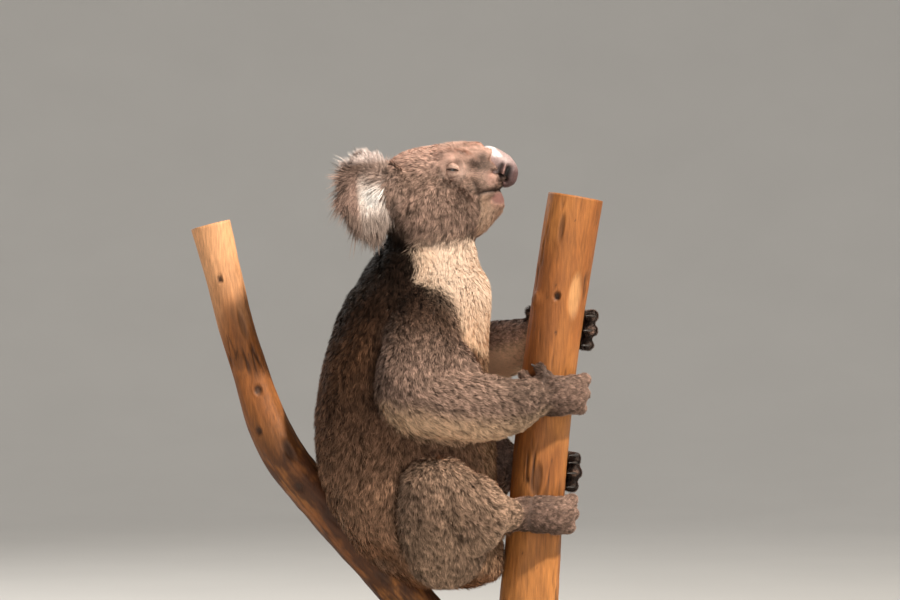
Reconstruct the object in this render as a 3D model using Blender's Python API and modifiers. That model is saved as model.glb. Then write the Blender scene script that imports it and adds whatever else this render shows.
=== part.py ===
"""A life-size koala sitting in the fork of a cut tree, hugging the upright post, on a plain display stand.

Frame: +X is the way the koala faces, +Y its left side, +Z up. The origin is the middle of the stand's
underside. The animal is built as a few fused bodies (core, two arms, two legs), each one a voxel union
of lofted forms. They are then parted with thin cuts into the pieces a person would name.
All sizes are in metres and reach out to the tips of the coat.
"""

import math

import bmesh
import bpy
import numpy as np
from mathutils import Matrix, Vector

# ------------------------------------------------------------------ driving sizes
GAP = 0.0005  # clear space left between two solids that meet
SEAT = 0.251  # lowest point of the rump above the floor
BASE_SIZE = (0.540, 0.350, 0.024)
BASE_CORNER = 0.030
BASE_EDGE = 0.003

POST_FOOT = 0.062  # height of the post's sawn lower end
POST_TOP = 0.740
POST_RADIUS = 0.034
POST_START_X = 0.153  # where the post's axis would meet the floor
POST_LEAN = 0.0093
POST_BEND = 0.108
TRUNK_ROD_RADIUS = 0.011
BRANCH_ROD_RADIUS = 0.008
BRANCH_ROD_X = 0.012

RIGHT, LEFT = -1, 1
SIDE_NAMES = {RIGHT: "right", LEFT: "left"}

EYE_RADIUS = 0.0088
EYE_PLACE = (0.0645, 0.0425, 0.7712)

# Triangle budgets of the fused bodies, before they are parted.
CORE_TRIANGLES, ARM_TRIANGLES, LEG_TRIANGLES, EAR_TRIANGLES = 1050, 440, 350, 90

COLOURS = {
    "grey_coat": (0.19, 0.13, 0.095, 0.85, 0.0),
    "dark_coat": (0.07, 0.045, 0.033, 0.9, 0.0),
    "ear_coat": (0.42, 0.34, 0.29, 0.9, 0.0),
    "nose_skin": (0.10, 0.065, 0.06, 0.45, 0.0),
    "eye": (0.03, 0.014, 0.006, 0.08, 0.0),
    "claw": (0.012, 0.010, 0.009, 0.35, 0.0),
    "gum_wood": (0.36, 0.15, 0.045, 0.6, 0.0),
    "base_paint": (0.025, 0.025, 0.027, 0.5, 0.0),
    "rod_steel": (0.55, 0.55, 0.56, 0.3, 1.0),
}


def start_scene():
    """Empties the scene and makes the collection that holds the koala."""
    for obj in list(bpy.data.objects):
        bpy.data.objects.remove(obj)
    collection = bpy.data.collections.new("koala")
    bpy.context.scene.collection.children.link(collection)
    return collection


KOALA = start_scene()


def material(name):
    """A Principled BSDF with the named colour, roughness and metallic value."""
    found = bpy.data.materials.get(name)
    if found:
        return found
    red, green, blue, roughness, metallic = COLOURS[name]
    made = bpy.data.materials.new(name)
    made.use_nodes = True
    shader = made.node_tree.nodes["Principled BSDF"]
    shader.inputs["Base Color"].default_value = (red, green, blue, 1.0)
    shader.inputs["Roughness"].default_value = roughness
    shader.inputs["Metallic"].default_value = metallic
    return made


# ------------------------------------------------------------------ meshes and Booleans
def add_object(name, mesh, finish=None):
    """Links a mesh as an object of the koala's collection."""
    obj = bpy.data.objects.new(name, mesh)
    KOALA.objects.link(obj)
    if finish:
        mesh.materials.clear()
        mesh.materials.append(material(finish))
    return obj


def baked(obj):
    """Replaces an object's mesh by the mesh its modifiers give."""
    graph = bpy.context.evaluated_depsgraph_get()
    mesh = bpy.data.meshes.new_from_object(obj.evaluated_get(graph))
    obj.modifiers.clear()
    old = obj.data
    obj.data = mesh
    bpy.data.meshes.remove(old)
    return obj


def boolean(obj, cutter, operation="DIFFERENCE"):
    """Cuts or joins obj with cutter at once, and leaves the cutter as it was."""
    step = obj.modifiers.new(operation.lower(), "BOOLEAN")
    step.operation = operation
    step.object = cutter
    return baked(obj)


def discard(*objects):
    for obj in objects:
        bpy.data.objects.remove(obj)


def grown(obj, by=GAP):
    """A copy of obj pushed out along its normals, used to cut its neighbours with a clear gap."""
    mesh = obj.data.copy()
    count = len(mesh.vertices)
    places = np.empty(count * 3, np.float32)
    normals = np.empty(count * 3, np.float32)
    mesh.vertices.foreach_get("co", places)
    mesh.vertex_normals.foreach_get("vector", normals)
    mesh.vertices.foreach_set("co", places + by * normals)
    mesh.update()
    return add_object(obj.name + "_grown", mesh)


def carve(obj, *neighbours):
    """Takes each neighbour, grown by the gap, out of obj."""
    for neighbour in neighbours:
        cutter = grown(neighbour)
        boolean(obj, cutter)
        discard(cutter)
    return obj


def block(point, normal, size):
    """A cube with the middle of one face at point, on the side the normal points to."""
    shape = bmesh.new()
    place = Matrix.Translation(Vector(point) + normal * size / 2)
    turn = normal.to_track_quat("Z", "Y").to_matrix().to_4x4()
    bmesh.ops.create_cube(shape, size=size, matrix=place @ turn)
    return as_object(shape, "block")


def split(obj, point, normal, ahead, behind, size=1.0):
    """Parts obj at a plane through point: what lies in a block ahead of it is named ahead."""
    normal = Vector(normal).normalized()
    other = add_object(behind, obj.data.copy())
    for piece, way, operation in ((obj, 1, "INTERSECT"), (other, -1, "DIFFERENCE")):
        cutter = block(Vector(point) + normal * way * GAP / 2, normal, size)
        boolean(piece, cutter, operation)
        discard(cutter)
    obj.name = ahead
    return obj, other


# ------------------------------------------------------------------ forms
def through(rows, count):
    """A smooth Catmull-Rom curve through the rows, sampled at count even steps."""
    rows = np.asarray(rows, float)
    padded = np.vstack([2 * rows[0] - rows[1], rows, 2 * rows[-1] - rows[-2]])
    at = np.linspace(0, len(rows) - 1, count)
    index = np.minimum(at.astype(int), len(rows) - 2)
    t = (at - index)[:, None]
    a, b, c, d = (padded[index + k] for k in range(4))
    bend = (2 * a - 5 * b + 4 * c - d) * t**2 + (3 * b - a - 3 * c + d) * t**3
    return b + 0.5 * ((c - a) * t + bend)


def superellipse(angles, power):
    """Unit outline, round at power 2 and boxier above it, as two rows: cosine-like and sine-like."""
    cosine, sine = np.cos(angles), np.sin(angles)
    shape = [np.sign(v) * np.abs(v) ** (2 / power) for v in (cosine, sine)]
    return np.array(shape)


def loft(rings):
    """Adds a closed skin over rows of rings to a new bmesh. Each end is one flat cap."""
    shape = bmesh.new()
    rows = [[shape.verts.new(point) for point in ring] for ring in rings]
    around = len(rows[0])
    for low, high in zip(rows, rows[1:]):
        for k in range(around):
            n = (k + 1) % around
            shape.faces.new((low[k], low[n], high[n], high[k]))
    shape.faces.new(rows[0][::-1])
    shape.faces.new(rows[-1])
    bmesh.ops.recalc_face_normals(shape, faces=shape.faces)
    return shape


def stacked(stations, along=34, around=36, power=2.25):
    """A body of level sections. A station is (height over the seat, back, front, half width)."""
    rings = []
    angles = np.linspace(0, 2 * math.pi, around, endpoint=False)
    unit = superellipse(angles, power)
    for height, back, front, half_width in through(stations, along):
        x = (back + front) / 2 + (front - back) / 2 * unit[0]
        y = half_width * unit[1]
        rings.append(np.column_stack([x, y, np.full(around, SEAT + height)]))
    return loft(rings)


def swept(path, radii, flatness=1.0, flat_way=(0, 1, 0), along=18, around=16, cap=(80, 60, 40, 20)):
    """A round-ended tube along a smooth path, its radius running smoothly through radii.

    flatness below 1 thins the section towards flat_way. cap lists the angles of the rings in each end.
    """
    rows = np.column_stack([np.asarray(path, float), np.asarray(radii, float)])
    rows = through(rows, along)
    points, widths = rows[:, :3], rows[:, 3]
    ways = np.gradient(points, axis=0)
    ways /= np.linalg.norm(ways, axis=1)[:, None]
    # Hemispheres: rings before the first point and past the last one.
    steps = np.radians(cap)
    caps = []
    for end, sign, order in ((0, -1, steps), (-1, 1, steps[::-1])):
        reach = points[end] + sign * ways[end] * np.sin(order)[:, None] * widths[end]
        caps.append((reach, widths[end] * np.cos(order), np.tile(ways[end], (len(order), 1))))
    points = np.vstack([caps[0][0], points, caps[1][0]])
    widths = np.concatenate([caps[0][1], widths, caps[1][1]])
    ways = np.vstack([caps[0][2], ways, caps[1][2]])
    flat = np.asarray(flat_way, float) - (ways @ np.asarray(flat_way, float))[:, None] * ways
    flat /= np.linalg.norm(flat, axis=1)[:, None]
    wide = np.cross(ways, flat)
    angles = np.linspace(0, 2 * math.pi, around, endpoint=False)
    across = np.cos(angles)[None, :, None] * wide[:, None, :]
    deep = flatness * np.sin(angles)[None, :, None] * flat[:, None, :]
    return loft(points[:, None, :] + widths[:, None, None] * (across + deep))


def ball(centre, radii, pitch=0.0, yaw=0.0, segments=24, rings=14):
    """An ellipsoid. pitch lifts its +X end, and yaw then turns it about the vertical, in degrees."""
    shape = bmesh.new()
    turn = Matrix.Rotation(math.radians(yaw), 4, "Z") @ Matrix.Rotation(-math.radians(pitch), 4, "Y")
    place = Matrix.Translation(centre) @ turn @ Matrix.Diagonal((*radii, 1.0))
    bmesh.ops.create_uvsphere(shape, u_segments=segments, v_segments=rings, radius=1.0, matrix=place)
    return shape


def as_object(shape, name, finish=None):
    mesh = bpy.data.meshes.new(name)
    shape.to_mesh(mesh)
    shape.free()
    return add_object(name, mesh, finish)


def fused(name, shapes, voxel, smoothing, triangles, finish):
    """One closed body from overlapping forms: a voxel union, smoothed, then thinned to a budget."""
    whole = bmesh.new()
    for shape in shapes:
        mesh = bpy.data.meshes.new("form")
        shape.to_mesh(mesh)
        shape.free()
        whole.from_mesh(mesh)
        bpy.data.meshes.remove(mesh)
    obj = as_object(whole, name, finish)
    union = obj.modifiers.new("union", "REMESH")
    union.mode = "VOXEL"
    union.voxel_size = voxel
    soften = obj.modifiers.new("soften", "SMOOTH")
    soften.factor = 0.5
    soften.iterations = smoothing
    baked(obj)
    thin = obj.modifiers.new("thin", "DECIMATE")
    thin.ratio = triangles / (2 * len(obj.data.polygons))
    thin.use_collapse_triangulate = True
    baked(obj)
    return obj


# ------------------------------------------------------------------ the perch
def post_axis(height):
    """The upright's axis leans forward as it rises, along a shallow parabola."""
    return POST_START_X + POST_LEAN * height + POST_BEND * height**2


def by_post(height, angle, distance, side=LEFT):
    """A point at a level, at an angle round the post from +X towards the side, and off its axis."""
    turn = math.radians(angle)
    x = post_axis(height) + distance * math.cos(turn)
    return (x, side * distance * math.sin(turn), height)


# Path points (x, height) and radii of the branch that the koala sits on, from its sawn top down.
BRANCH_PATH = (
    (-0.237, 0.705), (-0.196, 0.550), (-0.152, 0.430), (-0.085, 0.344),
    (0.011, 0.239), (0.080, 0.168), (0.150, 0.112),
)
BRANCH_RADII = (0.0240, 0.0215, 0.0265, 0.0270, 0.0270, 0.0280, 0.0300)


def uneven(angles, place, lobes, depth):
    """Slow swellings round and along a stem, as a factor on its radius."""
    return 1 + depth * np.sin(lobes * angles + 9 * place) * np.cos(3.1 * place + lobes)


def stem(axis, radii, around, swell):
    """A sawn-off stem: rings square to its axis, with slightly uneven bark-less wood."""
    ways = np.gradient(axis, axis=0)
    ways /= np.linalg.norm(ways, axis=1)[:, None]
    side = np.tile((0.0, 1.0, 0.0), (len(axis), 1))
    other = np.cross(ways, side)
    angles = np.linspace(0, 2 * math.pi, around, endpoint=False)
    place = np.linspace(0, 6, len(axis))[:, None]
    factor = uneven(angles[None, :], place, 2, swell) * uneven(angles[None, :], place * 1.7, 3, swell)
    reach = (radii[:, None] * factor)[:, :, None]
    outline = np.cos(angles)[None, :, None] * other[:, None, :] + np.sin(angles)[None, :, None] * side[:, None, :]
    return loft(axis[:, None, :] + reach * outline)


def build_perch():
    """The upright post, and the side branch that grows out of it under the koala."""
    heights = np.linspace(POST_FOOT, POST_TOP, 15)
    axis = np.column_stack([post_axis(heights), np.zeros_like(heights), heights])
    radii = POST_RADIUS + 0.006 * np.clip((0.30 - heights) / 0.24, 0, 1)
    post = as_object(stem(axis, radii, 14, 0.020), "perch_post", "gum_wood")
    rows = through([(x, 0.0, z, r) for (x, z), r in zip(BRANCH_PATH, BRANCH_RADII)], 18)
    branch = as_object(stem(rows[:, :3], rows[:, 3], 12, 0.025), "perch_branch", "gum_wood")
    carve(branch, post)
    return post, branch


def build_stand(post, branch):
    """A flat base with one short rod under the post and one under the branch."""
    length, width, thick = BASE_SIZE
    shape = bmesh.new()
    matrix = Matrix.Translation((0, 0, thick / 2)) @ Matrix.Diagonal((length, width, thick, 1))
    bmesh.ops.create_cube(shape, size=1.0, matrix=matrix)
    base = as_object(shape, "stand_base", "base_paint")
    uprights = [e for e in base.data.edges if len({round(base.data.vertices[v].co.z, 4) for v in e.vertices}) == 2]
    weights = base.data.attributes.new("bevel_weight_edge", "FLOAT", "EDGE")
    for edge in uprights:
        weights.data[edge.index].value = 1.0
    corners = base.modifiers.new("corners", "BEVEL")
    corners.limit_method = "WEIGHT"
    corners.width = BASE_CORNER
    corners.segments = 4
    baked(base)
    rim = base.modifiers.new("rim", "BEVEL")
    rim.width = BASE_EDGE
    rim.segments = 1
    rim.limit_method = "ANGLE"
    rim.angle_limit = math.radians(60)
    baked(base)
    rods = (
        ("stand_rod_post", post_axis(POST_FOOT), POST_FOOT + 0.02, TRUNK_ROD_RADIUS, post),
        ("stand_rod_branch", BRANCH_ROD_X, 0.235, BRANCH_ROD_RADIUS, branch),
    )
    for name, x, top, radius, carried in rods:
        low = thick + GAP / 2
        shape = bmesh.new()
        place = Matrix.Translation((x, 0, (low + top) / 2))
        bmesh.ops.create_cone(
            shape, cap_ends=True, segments=16, radius1=radius, radius2=radius, depth=top - low, matrix=place
        )
        carve(as_object(shape, name, "rod_steel"), carried)


# ------------------------------------------------------------------ the animal's forms
# Level sections of neck and trunk: height over the seat, back, front, half width.
TRUNK = (
    (0.475, -0.004, 0.080, 0.046),
    (0.439, -0.016, 0.094, 0.058),
    (0.410, -0.036, 0.0985, 0.069),
    (0.386, -0.052, 0.110, 0.078),
    (0.360, -0.069, 0.114, 0.088),
    (0.304, -0.090, 0.111, 0.100),
    (0.248, -0.102, 0.110, 0.106),
    (0.198, -0.106, 0.118, 0.112),
    (0.148, -0.102, 0.121, 0.117),
    (0.098, -0.087, 0.120, 0.118),
    (0.048, -0.055, 0.130, 0.104),
    (0.019, -0.019, 0.126, 0.078),
    (0.004, 0.012, 0.100, 0.046),
    (0.000, 0.032, 0.074, 0.018),
)

CHEEK = ((0.036, 0.035, 0.722), (0.062, 0.040, 0.051))
CRANIUM = ((0.036, 0.0, 0.751), (0.066, 0.060, 0.0525))
BROW = ((0.066, 0.025, 0.780), (0.036, 0.024, 0.022))
MUZZLE = ((0.084, 0.018, 0.754), (0.037, 0.026, 0.031))
JOWL = ((0.078, 0.020, 0.720), (0.032, 0.026, 0.032))
BRIDGE_PATH = ((0.020, 0, 0.766), (0.072, 0, 0.775), (0.104, 0, 0.777), (0.128, 0, 0.769))
BRIDGE_RADII = (0.034, 0.0362, 0.0305, 0.021)
UPPER_LIP = ((0.116, 0.0, 0.768), (0.033, 0.031, 0.0195))
JAW_PATH = ((0.060, 0, 0.704), (0.091, 0, 0.712), (0.1165, 0, 0.728))
JAW_RADII = (0.030, 0.0235, 0.0158)
JAW_WIDENING = 1.35
LOWER_LIP = ((0.0995, 0.0, 0.7285), (0.0325, 0.0275, 0.0200))
NOSE = ((0.1285, 0.0, 0.7805), (0.0300, 0.0200, 0.0105))
NOSE_PITCH = -54  # the pad slopes down and forward, as the head is tipped back

JAW_CUT, JAW_CUT_WAY = (0.040, 0.0, 0.690), (0.207, 0.0, 0.978)
NECK_CUT, NECK_CUT_WAY = (0.030, 0.0, 0.641), (0.10, 0.0, 0.995)

EAR = ((-0.048, 0.084, 0.741), (0.055, 0.023, 0.061))
EAR_ROOT = ((-0.016, 0.050, 0.744), (0.030, 0.024, 0.040))
EAR_YAW = 47  # the dish faces forward and outward
EAR_DISH_OFFSET = 0.022
EAR_DISH = (0.031, 0.013, 0.034)


def head_forms():
    """Skull, cheeks, jowls, brows, ear roots, muzzle, lips and jaw."""
    forms = [ball(*CRANIUM), swept(BRIDGE_PATH, BRIDGE_RADII, 0.93), ball(*UPPER_LIP), ball(*LOWER_LIP)]
    forms.append(swept(JAW_PATH, JAW_RADII, JAW_WIDENING))
    for side in (RIGHT, LEFT):
        for (x, y, z), radii in (CHEEK, MUZZLE, JOWL, BROW, EAR_ROOT):
            forms.append(ball((x, side * y, z), radii))
    return forms


def build_ear(side):
    """A thick furry disc on a slant, with a shallow dish on its forward face."""
    (x, y, z), radii = EAR
    centre = Vector((x, side * y, z))
    yaw = side * (EAR_YAW - 90)
    disc = ball(centre, radii, yaw=yaw)
    ear = fused(f"ear_{SIDE_NAMES[side]}", [disc], 0.004, 2, EAR_TRIANGLES, "ear_coat")
    turn = math.radians(EAR_YAW)
    dish_at = centre + EAR_DISH_OFFSET * Vector((math.cos(turn), side * math.sin(turn), 0.1))
    dish = as_object(ball(dish_at, EAR_DISH, yaw=yaw, segments=12, rings=6), "dish")
    boolean(ear, dish)
    discard(dish)
    return ear


# Each arm and leg: joints and radii along it. Points are (x, distance from the middle plane, height).
ARMS = {
    RIGHT: {
        "path": ((0.030, 0.066, 0.592), (0.026, 0.096, 0.545), (0.021, 0.112, 0.498), (0.088, 0.102, 0.482),
                 (0.130, 0.082, 0.481), (0.160, 0.062, 0.488)),
        "radii": (0.046, 0.050, 0.047, 0.0430, 0.036, 0.0270),
        "biceps": (0.048, 0.088, 0.537),
        "elbow": 2,
        "wrist_cut": (0.158, 0.063, 0.488),
        "hand": 0.493,
    },
    LEFT: {
        "path": ((0.036, 0.066, 0.600), (0.036, 0.098, 0.563), (0.034, 0.113, 0.523), (0.092, 0.103, 0.537),
                 (0.132, 0.082, 0.549), (0.162, 0.062, 0.560)),
        "radii": (0.046, 0.049, 0.047, 0.0430, 0.037, 0.0290),
        "biceps": (0.054, 0.088, 0.566),
        "elbow": 2,
        "wrist_cut": (0.158, 0.064, 0.563),
        "hand": 0.572,
    },
}
BICEPS_RADII = (0.064, 0.037, 0.039)
BICEPS_PITCH = -42

LEGS = {
    RIGHT: {
        "path": ((0.056, 0.084, 0.308), (0.046, 0.108, 0.348), (0.047, 0.118, 0.380), (0.086, 0.106, 0.356),
                 (0.131, 0.066, 0.348)),
        "radii": (0.052, 0.050, 0.046, 0.0400, 0.0225),
        "calf": ((0.090, 0.110, 0.352), (0.0425, 0.036, 0.051)),
        "knee": 2,
        "ankle_cut": (0.128, 0.069, 0.348),
        "foot": 0.347,
    },
    LEFT: {
        "path": ((0.056, 0.086, 0.330), (0.070, 0.108, 0.380), (0.088, 0.113, 0.414), (0.122, 0.095, 0.400),
                 (0.142, 0.065, 0.396)),
        "radii": (0.052, 0.049, 0.044, 0.0370, 0.0240),
        "calf": ((0.108, 0.106, 0.393), (0.038, 0.034, 0.048)),
        "knee": 2,
        "ankle_cut": (0.139, 0.070, 0.397),
        "foot": 0.397,
    },
}

# Fingers and toes: name, height over the palm at root and tip, angles round the post, radius.
FINGERS = (
    ("third", (0.018, 0.019), (62, 8), 0.0092),
    ("fourth", (0.001, 0.001), (62, 4), 0.0096),
    ("fifth", (-0.016, -0.017), (62, 10), 0.0088),
    ("thumb_upper", (0.018, 0.034), (88, 108), 0.0085),
    ("thumb_lower", (0.010, 0.024), (104, 138), 0.0088),
)
TOES = (
    ("second_third", (0.014, 0.015), (64, 12), 0.0092),
    ("fourth", (-0.002, -0.002), (64, 6), 0.0102),
    ("fifth", (-0.018, -0.019), (64, 12), 0.0092),
    ("big_toe", (-0.008, -0.018), (108, 146), 0.0105),
)
PALM_DISTANCE = POST_RADIUS + 0.016
HAND_HALF_HEIGHT, FOOT_HALF_HEIGHT = 0.0265, 0.0245
WRIST_WAY = (0.8, 0.6)  # wrists and ankles are cut square to this way: forward, and in to the post
CLAW_LENGTH_ANGLE, CLAW_RADIUS = 28, 0.0036
TOE_CLAW_OFFSETS = {"second_third": (0.0045, -0.0045), "fourth": (0.0,), "fifth": (0.0,), "big_toe": ()}


def digit(level, heights, angles, radius, side):
    """A finger or toe bent round the post, from its root in the palm to its tip."""
    steps = 6
    rise = np.linspace(heights[0], heights[1], steps)
    turn = np.linspace(angles[0], angles[1], steps)
    off = np.linspace(PALM_DISTANCE, POST_RADIUS + radius + 0.0015, steps)
    path = [by_post(level + r, t, d, side) for r, t, d in zip(rise, turn, off)]
    return swept(path, [radius] * steps, 1.0, (0, 0, 1), along=10, around=10)


def grip(level, half_height, digits, side, thick=0.66):
    """The palm or sole against the post, with its digits."""
    angles = (112, 90, 70, 55)
    path = [by_post(level, a, PALM_DISTANCE + 0.001, side) for a in angles]
    spread = [half_height * f for f in (0.90, 1.0, 0.98, 0.86)]
    forms = [swept(path, spread, thick, (0.0, side * 1.0, 0.0), along=10)]
    forms += [digit(level, heights, angles, radius, side) for _, heights, angles, radius in digits]
    return forms


def claw(name, level, heights, angles, radius, side, offset=0.0):
    """A black hooked claw that carries a digit's curve on and tapers to its tip."""
    steps = 6
    rise = (heights[1] - heights[0]) / abs(angles[1] - angles[0])
    way = 1 if angles[1] > angles[0] else -1
    turn = angles[1] + way * np.linspace(0, CLAW_LENGTH_ANGLE, steps)
    level = level + heights[1] + offset + rise * way * (turn - angles[1]) * way
    start, end = POST_RADIUS + radius + 0.003, POST_RADIUS + 0.0030
    off = start + (end - start) * np.linspace(0, 1, steps) ** 2
    path = [by_post(z, t, d, side) for z, t, d in zip(level, turn, off)]
    radii = CLAW_RADIUS * np.array([1.0, 1.05, 0.92, 0.72, 0.45, 0.14])
    return as_object(swept(path, radii, 0.75, (0, 0, 1), along=4, around=6, cap=(60,)), name, "claw")


def build_claws(kind, level, digits, side):
    """Every claw of one hand or foot."""
    made = []
    for name, heights, angles, radius in digits:
        offsets = TOE_CLAW_OFFSETS[name] if kind == "foot" else (0.0,)
        for number, offset in enumerate(offsets):
            suffix = f"_{number + 1}" if len(offsets) > 1 else ""
            label = f"claw_{kind}_{SIDE_NAMES[side]}_{name}{suffix}"
            made.append(claw(label, level, heights, angles, radius, side, offset))
    return made


def mirrored(points, side):
    return [(x, side * y, z) for x, y, z in points]


def build_limb(kind, side, spec, digits, half_height, triangles):
    """An arm or a leg, with its hand or foot, as one fused body."""
    level = spec["hand"] if kind == "arm" else spec["foot"]
    forms = [swept(mirrored(spec["path"], side), spec["radii"], 0.9, (0, 1, 0), along=26, around=20)]
    if kind == "arm":
        x, y, z = spec["biceps"]
        forms.append(ball((x, side * y, z), BICEPS_RADII, pitch=BICEPS_PITCH))
    else:
        (x, y, z), radii = spec["calf"]
        forms.append(ball((x, side * y, z), radii))
    forms += grip(level, half_height, digits, side)
    return fused(f"{kind}_{SIDE_NAMES[side]}", forms, 0.0035, 4, triangles, "grey_coat")


def part_limb(limb, kind, side, spec):
    """Parts an arm at elbow and wrist, or a leg at knee and ankle."""
    upper, lower, end, joint, cut = {
        "arm": ("upper_arm", "forearm", "hand", "elbow", "wrist_cut"),
        "leg": ("thigh", "shin", "foot", "knee", "ankle_cut"),
    }[kind]
    suffix = SIDE_NAMES[side]
    path = [Vector(p) for p in mirrored(spec["path"], side)]
    middle = spec[joint]
    above = (path[middle] - path[middle - 1]).normalized()
    below = (path[middle + 1] - path[middle]).normalized()
    wrist = Vector(mirrored([spec[cut]], side)[0])
    inward = (WRIST_WAY[0], -side * WRIST_WAY[1], 0.0)
    far, near = split(limb, wrist, inward, f"{end}_{suffix}", "rest", 0.15)
    split(near, path[middle], above + below, f"{lower}_{suffix}", f"{upper}_{suffix}")
    return far


# ------------------------------------------------------------------ building
def build_core(trunk_neighbours, ears):
    """Head, neck and trunk, parted at the jaw line and at the shoulders."""
    core = fused("core", [stacked(TRUNK), *head_forms()], 0.005, 6, CORE_TRIANGLES, "grey_coat")
    nose = fused("nose", [ball(*NOSE, pitch=NOSE_PITCH)], 0.003, 2, 90, "nose_skin")
    eyes = []
    for side in (RIGHT, LEFT):
        x, y, z = EYE_PLACE
        shape = ball((x, side * y, z), (EYE_RADIUS,) * 3, segments=10, rings=6)
        eyes.append(as_object(shape, f"eye_{SIDE_NAMES[side]}", "eye"))
    carve(core, nose, *eyes, *ears, *trunk_neighbours)
    head, below = split(core, JAW_CUT, JAW_CUT_WAY, "head", "below")
    neck, trunk = split(below, NECK_CUT, NECK_CUT_WAY, "neck", "trunk")
    neck.data.materials[0] = material("dark_coat")


def build():
    post, branch = build_perch()
    build_stand(post, branch)
    ears = [build_ear(side) for side in (RIGHT, LEFT)]
    limbs = []
    for side in (RIGHT, LEFT):
        arm = build_limb("arm", side, ARMS[side], FINGERS, HAND_HALF_HEIGHT, ARM_TRIANGLES)
        leg = build_limb("leg", side, LEGS[side], TOES, FOOT_HALF_HEIGHT, LEG_TRIANGLES)
        hand_claws = build_claws("hand", ARMS[side]["hand"], FINGERS, side)
        foot_claws = build_claws("foot", LEGS[side]["foot"], TOES, side)
        carve(arm, post, *hand_claws)
        carve(leg, post, branch, arm, *foot_claws)
        limbs += [(arm, "arm", side, ARMS[side]), (leg, "leg", side, LEGS[side])]
    build_core([branch, post, *(limb[0] for limb in limbs)], ears)
    for limb in limbs:
        part_limb(*limb)
    for obj in KOALA.objects:
        obj.data.shade_smooth()
        obj.data.set_sharp_from_angle(angle=math.radians(50))


build()
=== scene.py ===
# %% [markdown]
# # A koala in a cut fork of gum wood
#
# The model is a life-size koala that sits in a tree fork, hugs the upright post and lifts its muzzle.
# The frame already fixes where everything is, so this script makes the surfaces only: one skin, a coat
# of solid tufts over it, eyes, nose, claws, the wood and the display stand. Lengths are in metres. +X is
# the way the koala faces, +Y is its left and +Z is up.

# %% Loading the frame
import itertools
import math

import bpy
import numpy as np
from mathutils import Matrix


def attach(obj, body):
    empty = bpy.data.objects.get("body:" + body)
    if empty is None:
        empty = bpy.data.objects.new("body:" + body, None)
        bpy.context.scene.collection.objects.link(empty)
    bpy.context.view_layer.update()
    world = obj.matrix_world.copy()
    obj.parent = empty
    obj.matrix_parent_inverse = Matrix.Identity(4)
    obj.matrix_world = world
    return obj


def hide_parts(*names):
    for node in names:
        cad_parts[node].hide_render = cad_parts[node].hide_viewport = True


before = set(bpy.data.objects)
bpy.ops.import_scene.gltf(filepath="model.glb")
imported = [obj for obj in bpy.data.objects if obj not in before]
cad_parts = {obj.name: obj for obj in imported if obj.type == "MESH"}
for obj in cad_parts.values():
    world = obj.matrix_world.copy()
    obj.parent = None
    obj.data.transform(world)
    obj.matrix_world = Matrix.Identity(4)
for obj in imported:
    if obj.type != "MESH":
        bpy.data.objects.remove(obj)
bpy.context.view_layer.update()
MM = 0.001

# %% [markdown]
# ## Small tools for working in whole arrays
#
# Every shape below is an array of points worked out at once. These helpers are the formulas that all of
# them share: unit vectors, soft steps, a smooth curve through given rows, and noise. A texture node
# could give the noise, but the same noise must bend tufts, colour them and swell the wood, so it is
# worked out here.

# %% Vectors, soft steps and curves
def full_turn(count):
    """Evenly spaced angles of a full circle."""
    return np.linspace(0, 2 * math.pi, count, endpoint=False)


def unit(vectors):
    """Each vector divided by its own length."""
    return vectors / np.maximum(np.linalg.norm(vectors, axis=-1, keepdims=True), 1e-12)


def dot(first, second):
    """The dot product of matching rows, kept as a column."""
    return np.sum(first * second, axis=-1, keepdims=True)


def soft_step(value, low, high):
    """0 below low, 1 above high, and the cubic 3t^2 - 2t^3 between them."""
    t = np.clip((np.asarray(value, float) - low) / (high - low), 0, 1)
    return t * t * (3 - 2 * t)


def mix(first, second, share):
    """first where share is 0, second where it is 1. The share has one value for each row."""
    share = np.asarray(share)[..., None]
    return np.asarray(first) * (1 - share) + np.asarray(second) * share


def blob(points, centre, radii, edge=0.25):
    """1 inside an ellipsoid, falling softly to 0 over edge, a share of its size, on each side of it."""
    reach = np.linalg.norm((points - np.array(centre)) / np.array(radii), axis=-1)
    return 1 - soft_step(reach, 1 - edge, 1 + edge)


def through(rows, count):
    """A Catmull-Rom curve through the rows, sampled at count even steps: each span is the cubic that
    leaves a row with half the difference of its two neighbours."""
    rows = np.asarray(rows, float)
    padded = np.vstack([2 * rows[0] - rows[1], rows, 2 * rows[-1] - rows[-2]])
    at = np.linspace(0, len(rows) - 1, count)
    index = np.minimum(at.astype(int), len(rows) - 2)
    t = (at - index)[:, None]
    a, b, c, d = (padded[index + k] for k in range(4))
    bend = (2 * a - 5 * b + 4 * c - d) * t**2 + (3 * b - a - 3 * c + d) * t**3
    return b + 0.5 * ((c - a) * t + bend)


# %% Noise in space
LATTICE = np.random.default_rng(7).uniform(-1, 1, 65536)


def noise(points, size, seed=0):
    """Smooth noise from -1 to 1: random values on a cubic lattice with cells of the given size,
    blended inside each cell by soft-stepped weights."""
    place = np.asarray(points) / size + 31.7 * seed
    cell = np.floor(place).astype(np.int64)
    share = place - cell
    share = share * share * (3 - 2 * share)
    total = np.zeros(len(place))
    for corner in range(8):
        step = np.array([corner & 1, corner >> 1 & 1, corner >> 2 & 1])
        at = cell + step
        key = (at[:, 0] * 73856093) ^ (at[:, 1] * 19349663) ^ (at[:, 2] * 83492791)
        weight = np.prod(np.where(step, share, 1 - share), axis=1)
        total += weight * LATTICE[key & 65535]
    return total


def rough_noise(points, size, seed=0):
    """Three octaves of noise, each half the size and half the strength of the one before."""
    return sum(noise(points, size / 2**k, seed + k) / 2**k for k in range(3)) / 1.75


# %% [markdown]
# ## From arrays to meshes
#
# A closed surface is a stack of rings, joined by quads and closed at each end by a fan of triangles to
# its middle point. The sign of the enclosed volume tells whether the faces look outwards, so a mirrored
# piece can be put right.

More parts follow.
